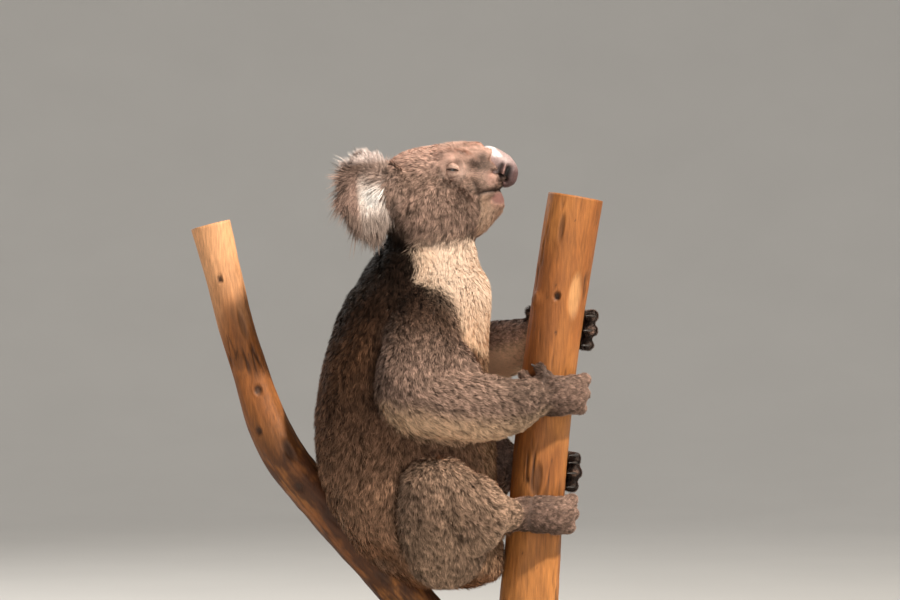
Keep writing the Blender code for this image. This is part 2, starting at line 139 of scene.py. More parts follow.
# %% Meshes and pieces
def circle(x, radius, z, count):
    """A level ring of points round an upright line through x."""
    turn = full_turn(count)
    return np.column_stack([x + radius * np.cos(turn), radius * np.sin(turn), np.full(count, z)])


def ring_faces(rings, around):
    """Quads between rings that close on themselves, and the two end fans, as lists of vertex numbers.
    The two middle points come after the rings."""
    spoke = np.arange(around)
    ahead = (spoke + 1) % around
    low = (np.arange(rings - 1)[:, None] * around + spoke[None, :]).ravel()
    next_low = (np.arange(rings - 1)[:, None] * around + ahead[None, :]).ravel()
    quads = np.column_stack([low, next_low, next_low + around, low + around])
    last = (rings - 1) * around
    start = np.column_stack([ahead, spoke, np.full(around, rings * around)])
    end = np.column_stack([last + spoke, last + ahead, np.full(around, rings * around + 1)])
    return quads, np.vstack([start, end])


def closed(rings):
    """Points and faces of a closed surface over rings of shape (rings, around, 3), facing outwards."""
    count, around = rings.shape[:2]
    points = np.vstack([rings.reshape(-1, 3), rings[0].mean(0), rings[-1].mean(0)])
    quads, fans = ring_faces(count, around)
    corners = np.vstack([quads[:, [0, 1, 2]], quads[:, [0, 2, 3]], fans])
    a, b, c = (points[corners[:, k]] - points.mean(0) for k in range(3))
    if np.sum(a * np.cross(b, c)) < 0:
        quads, fans = quads[:, ::-1], fans[:, ::-1]
    return points, quads.tolist() + fans.tolist()


def joined(surfaces):
    """Several (points, faces) surfaces as one, the faces renumbered."""
    points, faces, start = [], [], 0
    for shape, corners in surfaces:
        points.append(shape)
        faces += [[start + k for k in face] for face in corners]
        start += len(shape)
    return np.vstack(points), faces


def new_object(name, points, faces):
    """A mesh object in the scene. Its place is in its points."""
    mesh = bpy.data.meshes.new(name)
    mesh.from_pydata(points.tolist(), [], faces)
    mesh.update()
    obj = bpy.data.objects.new(name, mesh)
    bpy.context.scene.collection.objects.link(obj)
    return obj


def finished(obj, material, slot, *nodes):
    """Smooths, paints and mounts a piece, and hides the frame nodes that it stands for."""
    mesh = obj.data
    mesh.materials.clear()
    mesh.materials.append(material)
    mesh.shade_smooth()
    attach(obj, "root")
    if nodes:
        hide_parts(*nodes)
    mesh.calc_loop_triangles()
    print(f"{obj.name}: {len(mesh.vertices)} points, {len(mesh.loop_triangles)} triangles")


def painted(obj, colours):
    """Stores one linear colour for each point, for the material to read."""
    layer = obj.data.color_attributes.new("colour", "FLOAT_COLOR", "POINT")
    values = np.column_stack([np.clip(colours, 0, 1), np.ones(len(colours))]).astype(np.float32)
    layer.data.foreach_set("color", values.ravel())
    obj.data.color_attributes.active_color = layer


# %% Two basic forms
def tube(path, radii, flatness=1.0, flat_way=(0, 1, 0), along=18, around=20, caps=(78, 60, 42, 24, 10)):
    """A round-ended tube. Rings square to a smooth path, each an ellipse of the running radius that is
    thinned towards flat_way; at both ends the rings shrink as the cosine of the cap angles."""
    rows = through(np.column_stack([np.asarray(path, float), np.asarray(radii, float)]), along)
    points, widths = rows[:, :3], rows[:, 3]
    ways = unit(np.gradient(points, axis=0))
    angles = np.radians(caps)
    start = points[0] - ways[0] * (np.sin(angles) * widths[0])[:, None]
    end = points[-1] + ways[-1] * (np.sin(angles[::-1]) * widths[-1])[:, None]
    points = np.vstack([start, points, end])
    widths = np.concatenate([np.cos(angles) * widths[0], widths, np.cos(angles[::-1]) * widths[-1]])
    ways = np.vstack([np.tile(ways[0], (len(angles), 1)), ways, np.tile(ways[-1], (len(angles), 1))])
    flat = np.array(flat_way, float)
    flat = unit(flat - dot(ways, flat) * ways)
    wide = np.cross(ways, flat)
    turn = full_turn(around)
    outline = np.cos(turn)[:, None] * wide[:, None] + flatness * np.sin(turn)[:, None] * flat[:, None]
    return points[:, None] + widths[:, None, None] * outline


def ball(centre, radii, pitch=0.0, yaw=0.0, rings=26, around=40):
    """An ellipsoid as rings from pole to pole. pitch lifts its +X end and yaw turns it about the
    vertical, both in degrees."""
    rise = np.radians(np.linspace(-84, 84, rings))[:, None]
    turn = full_turn(around)[None, :]
    level = np.cos(rise)
    shape = np.stack([level * np.cos(turn), level * np.sin(turn), np.sin(rise) + 0 * turn], -1)
    p, w = math.radians(pitch), math.radians(yaw)
    tip = np.array([[math.cos(p), 0, -math.sin(p)], [0, 1, 0], [math.sin(p), 0, math.cos(p)]])
    swing = np.array([[math.cos(w), -math.sin(w), 0], [math.sin(w), math.cos(w), 0], [0, 0, 1]])
    return np.array(centre) + (shape * np.array(radii)) @ (swing @ tip).T

# %% [markdown]
# ## The skin's forms
#
# A real koala is skin over muscle, with its coat 2 to 10 mm off it. The forms here are the animal's
# masses out to the tips of the coat: level sections for the trunk, tapered tubes for limbs, digits,
# muzzle and jaw, and ellipsoids for skull, cheeks and brows. Their union is drawn in by the depth of the
# coat afterwards, so that the tufts, and not the skin, reach the outline.

# %% Trunk and head forms
RIGHT, LEFT = -1, 1
SIDE_NAMES = {RIGHT: "right", LEFT: "left"}
SEAT = 0.251  # lowest point of the rump above the floor

# Level sections: height over the seat, back, front, half width.
TRUNK = np.array([
    (0.475, -0.004, 0.08, 0.046), (0.439, -0.016, 0.094, 0.058), (0.41, -0.036, 0.0985, 0.069),
    (0.386, -0.052, 0.11, 0.078), (0.36, -0.069, 0.114, 0.088), (0.304, -0.09, 0.111, 0.1),
    (0.248, -0.102, 0.11, 0.106), (0.198, -0.106, 0.118, 0.112), (0.148, -0.102, 0.121, 0.117),
    (0.098, -0.087, 0.12, 0.118),
    (0.048, -0.055, 0.13, 0.104), (0.019, -0.019, 0.126, 0.078), (0.004, 0.012, 0.1, 0.046),
    (0.0, 0.032, 0.074, 0.018),
])


def trunk_rings(around=72):
    """Level superellipses |x/a|^2.25 + |y/b|^2.25 = 1 through the sections."""
    height, back, front, half = through(TRUNK, 90).T
    turn = full_turn(around)
    outline = [np.sign(v) * np.abs(v) ** (2 / 2.25) for v in (np.cos(turn), np.sin(turn))]
    x = ((back + front) / 2)[:, None] + ((front - back) / 2)[:, None] * outline[0]
    return np.stack([x, half[:, None] * outline[1], (SEAT + height)[:, None] + 0 * x], -1)


BRIDGE = [(0.02, 0, 0.766), (0.072, 0, 0.775), (0.104, 0, 0.777), (0.128, 0, 0.769)]
BRIDGE_RADII = (0.034, 0.0362, 0.0305, 0.021)
JAW = [(0.06, 0, 0.704), (0.091, 0, 0.712), (0.1165, 0, 0.728)]
JAW_RADII = (0.03, 0.0235, 0.0158)
SKULL = ((0.036, 0.0, 0.751), (0.066, 0.06, 0.0525))
CHEEK = ((0.036, 0.035, 0.722), (0.062, 0.04, 0.051))
BROW = ((0.066, 0.025, 0.78), (0.036, 0.024, 0.022))
MUZZLE = ((0.084, 0.018, 0.754), (0.037, 0.026, 0.031))
JOWL = ((0.078, 0.02, 0.72), (0.032, 0.026, 0.032))
LOWER_LIP = ((0.0995, 0.0, 0.7285), (0.0325, 0.0275, 0.02))
LIP_EDGE = ((0.115, 0.0, 0.737), (0.0168, 0.021, 0.0105))
EAR_ROOT = ((-0.016, 0.05, 0.744), (0.03, 0.024, 0.04))
UPPER_LIP = ((0.116, 0.0, 0.768), (0.033, 0.0245, 0.0195))


def head_surfaces():
    """Skull, bridge of the nose, lips and jaw, and on each side cheek, muzzle, brow and ear root."""
    surfaces = [
        ball(*SKULL),
        ball(*LOWER_LIP),
        ball(*LIP_EDGE),
        tube(BRIDGE, BRIDGE_RADII, 0.93, along=30, around=40),
        ball(*UPPER_LIP),
        tube(JAW, JAW_RADII, 1.35, along=20, around=36),
    ]
    for side in (RIGHT, LEFT):
        for (x, y, z), radii in (CHEEK, MUZZLE, JOWL, BROW, EAR_ROOT):
            surfaces.append(ball((x, side * y, z), radii))
    return surfaces


# %% Limb forms
POST_RADIUS = 0.034
LIMBS = {
    "arm_right": {
        "side": RIGHT,
        "path": [(0.03, 0.066, 0.592), (0.026, 0.096, 0.545), (0.021, 0.112, 0.498), (0.088, 0.102, 0.482),
                 (0.13, 0.082, 0.481), (0.16, 0.062, 0.488)],
        "radii": (0.046, 0.05, 0.047, 0.043, 0.036, 0.027),
        "biceps": (0.048, 0.088, 0.537),
        "level": 0.493,
    },
    "arm_left": {
        "side": LEFT,
        "path": [(0.036, 0.066, 0.6), (0.036, 0.098, 0.563), (0.034, 0.113, 0.523), (0.092, 0.103, 0.537),
                 (0.132, 0.082, 0.549), (0.162, 0.062, 0.56)],
        "radii": (0.046, 0.049, 0.047, 0.043, 0.037, 0.029),
        "biceps": (0.054, 0.088, 0.566),
        "level": 0.572,
    },
    "leg_right": {
        "side": RIGHT,
        "path": [(0.056, 0.084, 0.308), (0.046, 0.108, 0.348), (0.047, 0.118, 0.38), (0.086, 0.106, 0.356),
                 (0.131, 0.066, 0.348)],
        "radii": (0.052, 0.05, 0.046, 0.04, 0.0225),
        "calf": ((0.09, 0.11, 0.352), (0.0425, 0.036, 0.051)),
        "level": 0.347,
    },
    "leg_left": {
        "side": LEFT,
        "path": [(0.056, 0.086, 0.33), (0.07, 0.108, 0.38), (0.088, 0.113, 0.414), (0.122, 0.095, 0.4),
                 (0.142, 0.065, 0.396)],
        "radii": (0.052, 0.049, 0.044, 0.037, 0.024),
        "calf": ((0.108, 0.106, 0.393), (0.038, 0.034, 0.048)),
        "level": 0.397,
    },
}
# Digits: height over the palm at root and tip, angles round the post at root and tip, radius.
FINGERS = {
    "third": ((0.018, 0.019), (62, 8), 0.0092),
    "fourth": ((0.001, 0.001), (62, 4), 0.0096),
    "fifth": ((-0.016, -0.017), (62, 10), 0.0088),
    "thumb_upper": ((0.018, 0.034), (88, 108), 0.0085),
    "thumb_lower": ((0.01, 0.024), (104, 138), 0.0088),
}
TOES = {
    "second_third": ((0.014, 0.015), (64, 12), 0.0092),
    "fourth": ((-0.002, -0.002), (64, 6), 0.0102),
    "fifth": ((-0.018, -0.019), (64, 12), 0.0092),
    "big_toe": ((-0.008, -0.018), (108, 146), 0.0105),
}
PALM_DISTANCE = POST_RADIUS + 0.016
HAND_HALF_HEIGHT, FOOT_HALF_HEIGHT = 0.0265, 0.0245
BICEPS_RADII, BICEPS_PITCH = (0.064, 0.037, 0.039), -42


def post_axis(height):
    """The post's axis as x over height: a shallow parabola that leans forward as it rises."""
    return 0.153 + 0.0093 * height + 0.108 * height**2


def by_post(height, angle, distance, side):
    """Points at a level, an angle round the post from +X towards the side, and a distance off its axis."""
    height, turn = np.broadcast_arrays(np.asarray(height, float), np.radians(angle))
    x = post_axis(height) + distance * np.cos(turn)
    return np.stack([x, side * distance * np.sin(turn), height], -1)


def digit_path(level, heights, angles, radius, side):
    """A finger or toe bends round the post while its axis closes in on the wood."""
    share = np.linspace(0, 1, 8)
    # The middle joint stands 2 mm proud, as a knuckle.
    knuckle = 0.0022 * np.sin(math.pi * share) ** 2
    off = PALM_DISTANCE + (POST_RADIUS + radius + 0.0015 - PALM_DISTANCE) * share + knuckle
    rise = level + heights[0] + (heights[1] - heights[0]) * share
    return by_post(rise, angles[0] + (angles[1] - angles[0]) * share, off, side)


def grip_surfaces(level, half_height, digits, side):
    """The palm or sole laid against the post, and its digits with thick joints and padded ends."""
    path = by_post(level, np.array((112, 90, 70, 55)), PALM_DISTANCE + 0.001, side)
    spread = [half_height * f for f in (0.9, 1.0, 0.98, 0.86)]
    surfaces = [tube(path, spread, 0.66, (0, side, 0), along=14, around=28)]
    for heights, angles, radius in digits.values():
        swell = radius * np.array((1.0, 0.98, 0.93, 1.02, 0.94, 0.92, 1.0, 0.96))
        surfaces.append(tube(digit_path(level, heights, angles, radius, side), swell, 1.0, (0, 0, 1), 26, 18))
    return surfaces


def limb_path(name):
    """A limb's path with its side put in."""
    return np.array(LIMBS[name]["path"]) * (1, LIMBS[name]["side"], 1)


def limb_surfaces(name):
    """A tapered tube through the joints, the biceps on an arm, and the hand or foot."""
    spec = LIMBS[name]
    surfaces = [tube(limb_path(name), spec["radii"], 0.9, (0, 1, 0), along=44, around=36)]
    digits, half_height = (FINGERS, HAND_HALF_HEIGHT) if name.startswith("arm") else (TOES, FOOT_HALF_HEIGHT)
    if "biceps" in spec:
        x, y, z = spec["biceps"]
        surfaces.append(ball((x, spec["side"] * y, z), BICEPS_RADII, BICEPS_PITCH))
    if "calf" in spec:
        (x, y, z), swell = spec["calf"]
        surfaces.append(ball((x, spec["side"] * y, z), swell))
    return surfaces + grip_surfaces(spec["level"], half_height, digits, spec["side"])


# %% [markdown]
# ## The ears
#
# A koala's ear is a round, cupped flap about 7 cm across, set on the corner of the skull and facing
# forward and outward. It is one surface of two parameters, a distance from its middle and an angle, bent
# into a shallow bowl, with a front and a back sheet that meet at the rim.

# %% Ear flaps
EAR_MIDDLE = (-0.04, 0.078, 0.745)
EAR_YAW = 47  # degrees from straight ahead towards the side
EAR_WIDE, EAR_TALL = 0.034, 0.038  # half width and half height


def ear_frame(side):
    """The ear's middle, and its unit ways: out of the dish, across towards the rim, and up."""
    turn = math.radians(EAR_YAW)
    out = np.array((math.cos(turn), side * math.sin(turn), 0.0))
    across = np.array((-math.sin(turn), side * math.cos(turn), 0.0))
    middle = np.array(EAR_MIDDLE) * (1, side, 1)
    return middle, out, across, np.array((0.0, 0.0, 1.0))


def ear_bowl(reach, sheet):
    """How far forward the flap lies at a distance from its middle, where 1 is the rim: it grows as the
    square of the distance. The wall is 4 mm thick and thins to the rim as a quarter of a circle."""
    return 0.012 * reach**2 - 0.006 + 0.0022 * np.sqrt(np.maximum(1 - reach**2, 0)) * sheet


def ear_surface(side):
    """The front sheet from the middle to the rim, and the back sheet from the rim to the middle."""
    middle, out, across, up = ear_frame(side)
    reach = np.concatenate([np.linspace(0.04, 1, 16), np.linspace(1, 0.04, 16)])
    sheet = np.repeat([1.0, -1.0], 16)
    turn = full_turn(56)
    flat = 1 + 0.05 * np.cos(3 * turn + 0.6)
    return (
        middle
        + ear_bowl(reach, sheet)[:, None, None] * out
        + (EAR_WIDE * reach[:, None] * np.cos(turn) * flat)[..., None] * across
        + (EAR_TALL * reach[:, None] * np.sin(turn) * flat)[..., None] * up
    )


# %% [markdown]
# ## One skin
#
# The overlapping forms have to become a single closed surface. Booleans would leave sharp creases at
# every joint. A voxel remesh rebuilds the outside of all the forms at once, and smoothing turns the
# creases into folds. The face keeps its fine mesh, and the rest is thinned, because the coat hides it.

# %% Fusing the forms
def applied(obj):
    """Replaces the object's mesh by the one its modifiers give."""
    graph = bpy.context.evaluated_depsgraph_get()
    mesh = bpy.data.meshes.new_from_object(obj.evaluated_get(graph))
    obj.modifiers.clear()
    old = obj.data
    obj.data = mesh
    bpy.data.meshes.remove(old)


def rows_of(collection, key, kind=np.float32):
    """One attribute of every item of a mesh, three numbers in a row."""
    values = np.empty(len(collection) * 3, kind)
    collection.foreach_get(key, values)
    return values.reshape(-1, 3)


def mesh_points(obj):
    """The object's points as rows."""
    return rows_of(obj.data.vertices, "co").astype(float)


def mesh_normals(obj):
    """The object's smooth point normals as rows."""
    return rows_of(obj.data.vertex_normals, "vector").astype(float)


def put_points(obj, points):
    """Moves the object's points to the given rows."""
    obj.data.vertices.foreach_set("co", points.astype(np.float32).ravel())
    obj.data.update()


def weighted_group(obj, name, weights):
    """A vertex group from one weight for each point, rounded to eighths."""
    group = obj.vertex_groups.new(name=name)
    for level in range(1, 9):
        group.add(np.flatnonzero(np.round(8 * weights) == level).tolist(), level / 8, "REPLACE")
    return group.name


def smoothed(obj, rounds, where=None):
    """Moves every point halfway to the mean of its neighbours, a number of times."""
    soften = obj.modifiers.new("soften", "SMOOTH")
    soften.factor = 0.5
    soften.iterations = rounds
    if where:
        soften.vertex_group = weighted_group(obj, "soften", where(mesh_points(obj)))
    applied(obj)
    obj.vertex_groups.clear()


VOXEL = 0.0019
forms = [trunk_rings(), *head_surfaces()]
forms += [surface for name in LIMBS for surface in limb_surfaces(name)]
skin = new_object("skin", *joined([closed(rings) for rings in forms]))
union = skin.modifiers.new("union", "REMESH")
union.mode = "VOXEL"
union.voxel_size = VOXEL
applied(skin)
smoothed(skin, 8)
smoothed(skin, 40, where=lambda p: soft_step(p[:, 2], 0.67, 0.69))
print("fused skin:", len(skin.data.vertices), "points")

# %% [markdown]
# ## Which part of the body a point belongs to
#
# Length, direction and colour of the coat depend on the body part. Every point gets a distance to each
# form (trunk, head, ears, limbs and grips), and soft shares follow from them, so the coat turns smoothly
# from the shoulder to the arm instead of changing at a line.

# %% Shares of each body part
PARTS = ["trunk", "head", "ear_right", "ear_left", *LIMBS, *("grip_" + name for name in LIMBS)]
PATHS = {}
for name, spec in LIMBS.items():
    rows = np.column_stack([limb_path(name), np.array(spec["radii"])])
    PATHS[name] = through(rows, 60)


def by_path(points, name):
    """Distance outside a limb's tube, and the nearest place along its path from 0 to 1."""
    rows = PATHS[name]
    best = np.full(len(points), 9.0)
    place = np.zeros(len(points))
    for k, row in enumerate(rows):
        gap = np.linalg.norm(points - row[:3], axis=1) - row[3]
        closer = gap < best
        best = np.where(closer, gap, best)
        place = np.where(closer, k / (len(rows) - 1), place)
    return best, place


def off_ellipsoid(points, centre, radii):
    """An approximate distance outside an ellipsoid: its scaled radius less 1, times its smallest radius."""
    scaled = np.linalg.norm((points - np.array(centre)) / np.array(radii), axis=1)
    return (scaled - 1) * min(radii)


def off_trunk(points):
    """The same for the trunk's level section at each point's height."""
    height = np.clip(points[:, 2] - SEAT, 0, 0.475)
    back, front, half = (np.interp(height, TRUNK[::-1, 0], TRUNK[::-1, k]) for k in (1, 2, 3))
    reach = np.hypot((points[:, 0] - (back + front) / 2) / ((front - back) / 2), points[:, 1] / half)
    above = np.maximum(points[:, 2] - SEAT - 0.475, 0)
    return (reach - 1) * np.minimum((front - back) / 2, half) + above


def both_sides(points):
    """The points with those of the right side mirrored to the left."""
    return np.column_stack([points[:, 0], np.abs(points[:, 1]), points[:, 2]])


HEAD_BALLS = (SKULL, CHEEK, MUZZLE, JOWL, BROW, UPPER_LIP, LOWER_LIP, EAR_ROOT)


def off_head(points):
    """The least distance to the head's ellipsoids, the bridge of the nose and the jaw."""
    gaps = [off_ellipsoid(both_sides(points), *form) for form in HEAD_BALLS]
    for path, radii in ((BRIDGE, BRIDGE_RADII), (JAW, JAW_RADII)):
        rows = through(np.column_stack([path, radii]), 12)
        gaps.append(np.min([np.linalg.norm(points - row[:3], axis=1) - row[3] for row in rows], axis=0))
    return np.min(gaps, axis=0)


def off_ear(points, side):
    """Distance outside the ear's bowl."""
    middle, out, across, up = ear_frame(side)
    local = np.column_stack([(points - middle) @ way for way in (out, across, up)])
    reach = np.hypot(local[:, 1] / EAR_WIDE, local[:, 2] / EAR_TALL)
    sheet = np.abs(local[:, 0] - ear_bowl(reach, 0)) - 0.003
    return np.maximum(sheet, (reach - 1) * EAR_WIDE)


def off_grip(points, name):
    """Distance outside the ring that a hand or foot fills round the post."""
    spec = LIMBS[name]
    from_axis = np.hypot(points[:, 0] - post_axis(points[:, 2]), points[:, 1])
    angle = np.degrees(np.arctan2(spec["side"] * points[:, 1], points[:, 0] - post_axis(points[:, 2])))
    gap = np.maximum(from_axis - (PALM_DISTANCE + 0.016), np.abs(points[:, 2] - spec["level"]) - 0.034)
    return np.maximum(gap, (np.abs(angle - 55) - 66) * 0.0008), angle


def body_shares(points):
    """One column for each part: exp(-distance / 5 mm), scaled to a sum of 1. Also returns each limb's
    place along its path and each grip's angle."""
    gaps, extra = {"trunk": off_trunk(points) - 0.002, "head": off_head(points)}, {}
    for side, name in SIDE_NAMES.items():
        gaps["ear_" + name] = off_ear(points, side) - 0.004
    for name in LIMBS:
        gaps[name], extra[name] = by_path(points, name)
        gap, extra["grip_" + name] = off_grip(points, name)
        gaps["grip_" + name] = gap - 0.004
    spread = np.column_stack([gaps[part] for part in PARTS])
    shares = np.exp(-(spread - spread.min(1, keepdims=True)) / 0.005)
    return shares / shares.sum(1, keepdims=True), extra


def share_of(shares, *names):
    """The summed share of several parts."""
    return sum(shares[:, PARTS.index(name)] for name in names)


# %% [markdown]
# ## How deep the coat is
#
# The back carries about 9 mm of fur, the limbs 6, the cheeks 6, the crown 4 and the muzzle, hands and
# feet 1 to 2. The union of forms is pushed in by that depth in small steps with smoothing between them,
# because one long push would make the surface cross itself in the folds.

# %% Drawing the skin in
EYE_RADIUS = 0.0088
EYE_MIDDLE = (0.0645, 0.0425, 0.7712)


def eye_frame(side):
    """The eyeball's middle, and its unit ways: out of the socket, along the slit to the front, and up."""
    out = unit(np.array((math.sin(math.radians(12)), side * math.cos(math.radians(12)), -0.02)))
    along = unit(np.array((1.0, 0, -0.1)) - np.dot((1.0, 0, -0.1), out) * out)
    up = np.cross(out, along) * (1 if np.cross(out, along)[2] > 0 else -1)
    return np.array(EYE_MIDDLE) * (1, side, 1), out, along, up


PART_DEPTH = {"trunk": 0.0085, "head": 0.005, "arm": 0.0065, "leg": 0.0065, "grip": 0.002, "ear": 0.003}


def coat_depth(points, shares):
    """The depth of the coat at each point, from its body parts and from the thin places of the face."""
    depth = sum(shares[:, k] * PART_DEPTH[part.split("_")[0]] for k, part in enumerate(PARTS))
    face = both_sides(points)
    head = share_of(shares, "head")
    muzzle = soft_step(face[:, 0], 0.07, 0.105)
    depth += head * 0.0015 * blob(face, *CHEEK) * (1 - muzzle)
    depth -= head * 0.0038 * muzzle * soft_step(points[:, 2], 0.715, 0.745)
    from_eye = np.linalg.norm(face - EYE_MIDDLE, axis=1)
    depth -= head * 0.0034 * (1 - soft_step(from_eye, 0.011, 0.03)) * (1 - muzzle)
    lips = blob(face, (0.12, 0.0, 0.737), (0.018, 0.03, 0.011))
    depth += (0.0003 - depth) * lips * head
    depth -= 0.0016 * head * soft_step(face[:, 0], 0.096, 0.108) * (1 - soft_step(points[:, 2], 0.72, 0.735))
    for name in LIMBS:
        near = 1 - soft_step(np.linalg.norm(points - limb_path(name)[-1], axis=1), 0.022, 0.062)
        depth -= 0.0042 * near * share_of(shares, name)
    return np.maximum(depth, 0.0008)


for step in range(4):
    points = mesh_points(skin)
    shares, _ = body_shares(points)
    depth = coat_depth(points, shares) / 4
    put_points(skin, points - mesh_normals(skin) * depth[:, None])
    smoothed(skin, 5, where=lambda p: 1 - soft_step(shares.max(1), 0.75, 0.97))

# %% [markdown]
# ## Working the face
#
# Round the eyes, on the muzzle and along the lips the coat is only 1 to 3 mm deep, so the skin carries
# the shape there. Each change is a soft mound or groove: a distance from a point or a line, turned into
# a push along the skin's normal. This is what a sculptor's brush does, written down.

# %% Mounds and grooves
def near_line(points, line):
    """Each point's distance to a polyline in the side view (x, z), and how far along the line it lies
    from 0 to 1."""
    line = np.asarray(line, float)
    flat = points[:, [0, 2]]
    start, way = line[:-1], np.diff(line, axis=0)
    share = np.einsum("npk,pk->np", flat[:, None] - start, way) / np.sum(way * way, axis=1)
    share = np.clip(share, 0, 1)
    gap = np.linalg.norm(flat[:, None] - start - share[..., None] * way, axis=-1)
    best = gap.argmin(1)
    rows = np.arange(len(points))
    return gap[rows, best], (best + share[rows, best]) / len(way)


def bell(distance, width):
    """1 at no distance, falling off as exp(-(d / width)^2)."""
    return np.exp(-((distance / width) ** 2))


# %% Folds of the body
MOUTH = [(0.092, 0.74), (0.105, 0.7452), (0.119, 0.7478), (0.131, 0.75)]
CHEEK_FOLD = [(0.094, 0.756), (0.0985, 0.744), (0.0985, 0.72), (0.096, 0.701)]
BROW_RIDGE = [(0.052, 0.788), (0.066, 0.7925), (0.08, 0.79)]
THIGH_FOLD = [(0.021, 0.424), (0.004, 0.401), (-0.002, 0.359), (-0.002, 0.33), (0.008, 0.303)]
KNEE_FOLD = [(0.048, 0.372), (0.056, 0.357), (0.067, 0.34), (0.081, 0.324)]
ARM_FOLD = [(-0.015, 0.57), (-0.0275, 0.529), (-0.03, 0.493), (-0.0225, 0.4775)]
# Line on the right side in the side view, least distance from the middle plane, depth, width, and how
# far the left side's fold is shifted, as that arm and leg are raised.
FOLDS = [
    (THIGH_FOLD, 0.085, 0.006, 0.006, (0.038, 0.034)),
    (KNEE_FOLD, 0.118, 0.0038, 0.0034, (0.03, 0.038)),
    (ARM_FOLD, 0.078, 0.0042, 0.0055, (0.012, 0.028)),
]


def folds(points):
    """The depth of the body's folds at each point in metres, and the same as 0 to 1 for the painted shade in
    them and for the coat.
    """
    deepest, mark = np.zeros(len(points)), np.zeros(len(points))
    for side, (line, off, deep, wide, shift) in itertools.product((RIGHT, LEFT), FOLDS):
        gap, along = near_line(points, line if side == RIGHT else np.array(line) + shift)
        reach = bell(gap, wide) * soft_step(side * points[:, 1], off - 0.01, off + 0.004)
        reach = reach * soft_step(along, -0.02, 0.12) * (1 - soft_step(along, 0.86, 1.02))
        deepest, mark = np.maximum(deepest, deep * reach), np.maximum(mark, reach)
    return deepest, mark


# %% Sculpting the face
def face_push(points):
    """How far each point of the skin moves out (or in, below zero), in metres."""
    x, y, z = points.T
    side = np.abs(y)
    mirrored = both_sides(points)
    from_eye = np.linalg.norm(mirrored - EYE_MIDDLE, axis=1)
    push = 0.0036 * bell(np.maximum(from_eye - 0.008, 0), 0.012)
    # The hollow in front of the eye, where the muzzle leaves the orbit.
    push -= 0.0022 * bell(np.linalg.norm(mirrored - (0.086, 0.036, 0.775), axis=1), 0.0085)
    # A low ridge over the orbit.
    gap, _ = near_line(points, BROW_RIDGE)
    push += 0.0018 * bell(gap, 0.0045) * soft_step(side, 0.02, 0.03)
    # The lips: a groove between them, and a swelling on each side of it.
    gap, _ = near_line(points, MOUTH)
    front = soft_step(x, 0.088, 0.1)
    push -= 0.003 * bell(gap, 0.0019) * front
    push += 0.001 * bell(gap - 0.005, 0.0024) * front
    # The muzzle stands clear of the cheek.
    gap, _ = near_line(points, CHEEK_FOLD)
    push -= 0.0015 * bell(gap, 0.0032) * soft_step(side, 0.008, 0.016)
    # The swell of the whisker bed on the upper lip.
    push += 0.0016 * bell(np.linalg.norm(mirrored - (0.11, 0.024, 0.759), axis=1), 0.011)
    return push * soft_step(z, 0.69, 0.705) * soft_step(x, 0.03, 0.045)


points = mesh_points(skin)
put_points(skin, points + mesh_normals(skin) * (face_push(points) - folds(points)[0])[:, None])
smoothed(skin, 1)

# %% Sinking the sockets
# 9 mm from each eye's axis the skin may stand no more than 5 mm before the eyeball's middle, and this
# limit fades out to 21 mm, so the lids rise out of the face.
points = mesh_points(skin)
for side in (RIGHT, LEFT):
    middle, out, _, _ = eye_frame(side)
    ahead = (points - middle) @ out
    apart = np.linalg.norm(points - middle - ahead[:, None] * out, axis=1)
    past = apart - EYE_RADIUS
    limit = 0.005 + np.where(past < 0, 0.9, 0.22) * past
    near = (ahead > -0.008) & (ahead < 0.03) & (side * points[:, 1] > 0)
    ring = (apart > 0.0095) & (apart < 0.0115) & near
    print("face before the eye's middle in mm:", np.round(np.percentile(ahead[ring] / MM, (0, 50, 100)), 2))
    fade = (1 - soft_step(apart, 0.01, 0.021)) * near
    points = points - (np.maximum(ahead - limit, 0) * fade)[:, None] * out
put_points(skin, points)

# %% [markdown]
# ## A bed for the nose pad
#
# The pad is its own piece and wraps round the end of the muzzle, so the skin under it must be narrower
# and lower. The pad's middle profile and half ellipses are set out first, and the skin is pressed to lie
# 9 mm inside them, and 4 mm at their widest line. Behind the pad's edge it widens again at 60 degrees.

# %% The pad's outline
# Down the middle: x, z, half width, depth of the flanks behind the profile, in mm.
NOSE_PROFILE = np.array([
    (104.0, 801.6, 9.0, 9.0), (109.0, 803.8, 12.5, 12.5), (117.0, 802.3, 14.5, 14.5),
    (126.9, 797.2, 16.5, 17.0), (136.6, 791.2, 18.5, 20.5), (142.8, 784.2, 19.5, 24.0),
    (146.4, 777.0, 20.0, 27.5), (147.4, 769.5, 19.5, 29.5), (146.0, 761.8, 18.0, 28.0),
    (142.6, 755.8, 15.5, 22.0), (136.6, 752.2, 12.0, 14.0), (129.5, 751.2, 8.0, 6.0),
])
PAD_ROWS = through(NOSE_PROFILE * MM, 60)
pad_down = unit(np.gradient(PAD_ROWS[:, :2], axis=0))
PAD_OUT = np.column_stack([-pad_down[:, 1], pad_down[:, 0]])
# The pad in the side view, from the profile (turn 0) to its widest line (turn 90 degrees).
turns = np.linspace(0, 90, 24)
bend = (1 - np.cos(np.radians(turns))) ** 1.15
PAD_PLACES = (PAD_ROWS[:, None, :2] - (PAD_ROWS[:, 3:4] * bend)[..., None] * PAD_OUT[:, None]).reshape(-1, 2)
PAD_HALF = (PAD_ROWS[:, 2:3] * np.sin(np.radians(turns))).ravel()
PAD_TURN = np.tile(turns, len(PAD_ROWS))
PAD_SHARE = np.repeat(np.linspace(0, 1, len(PAD_ROWS)), len(turns))


def on_muzzle(points):
    """True in a block round the end of the muzzle."""
    return (points[:, 0] > 0.09) & (points[:, 0] < 0.157) & (points[:, 2] > 0.742) & (points[:, 2] < 0.82)


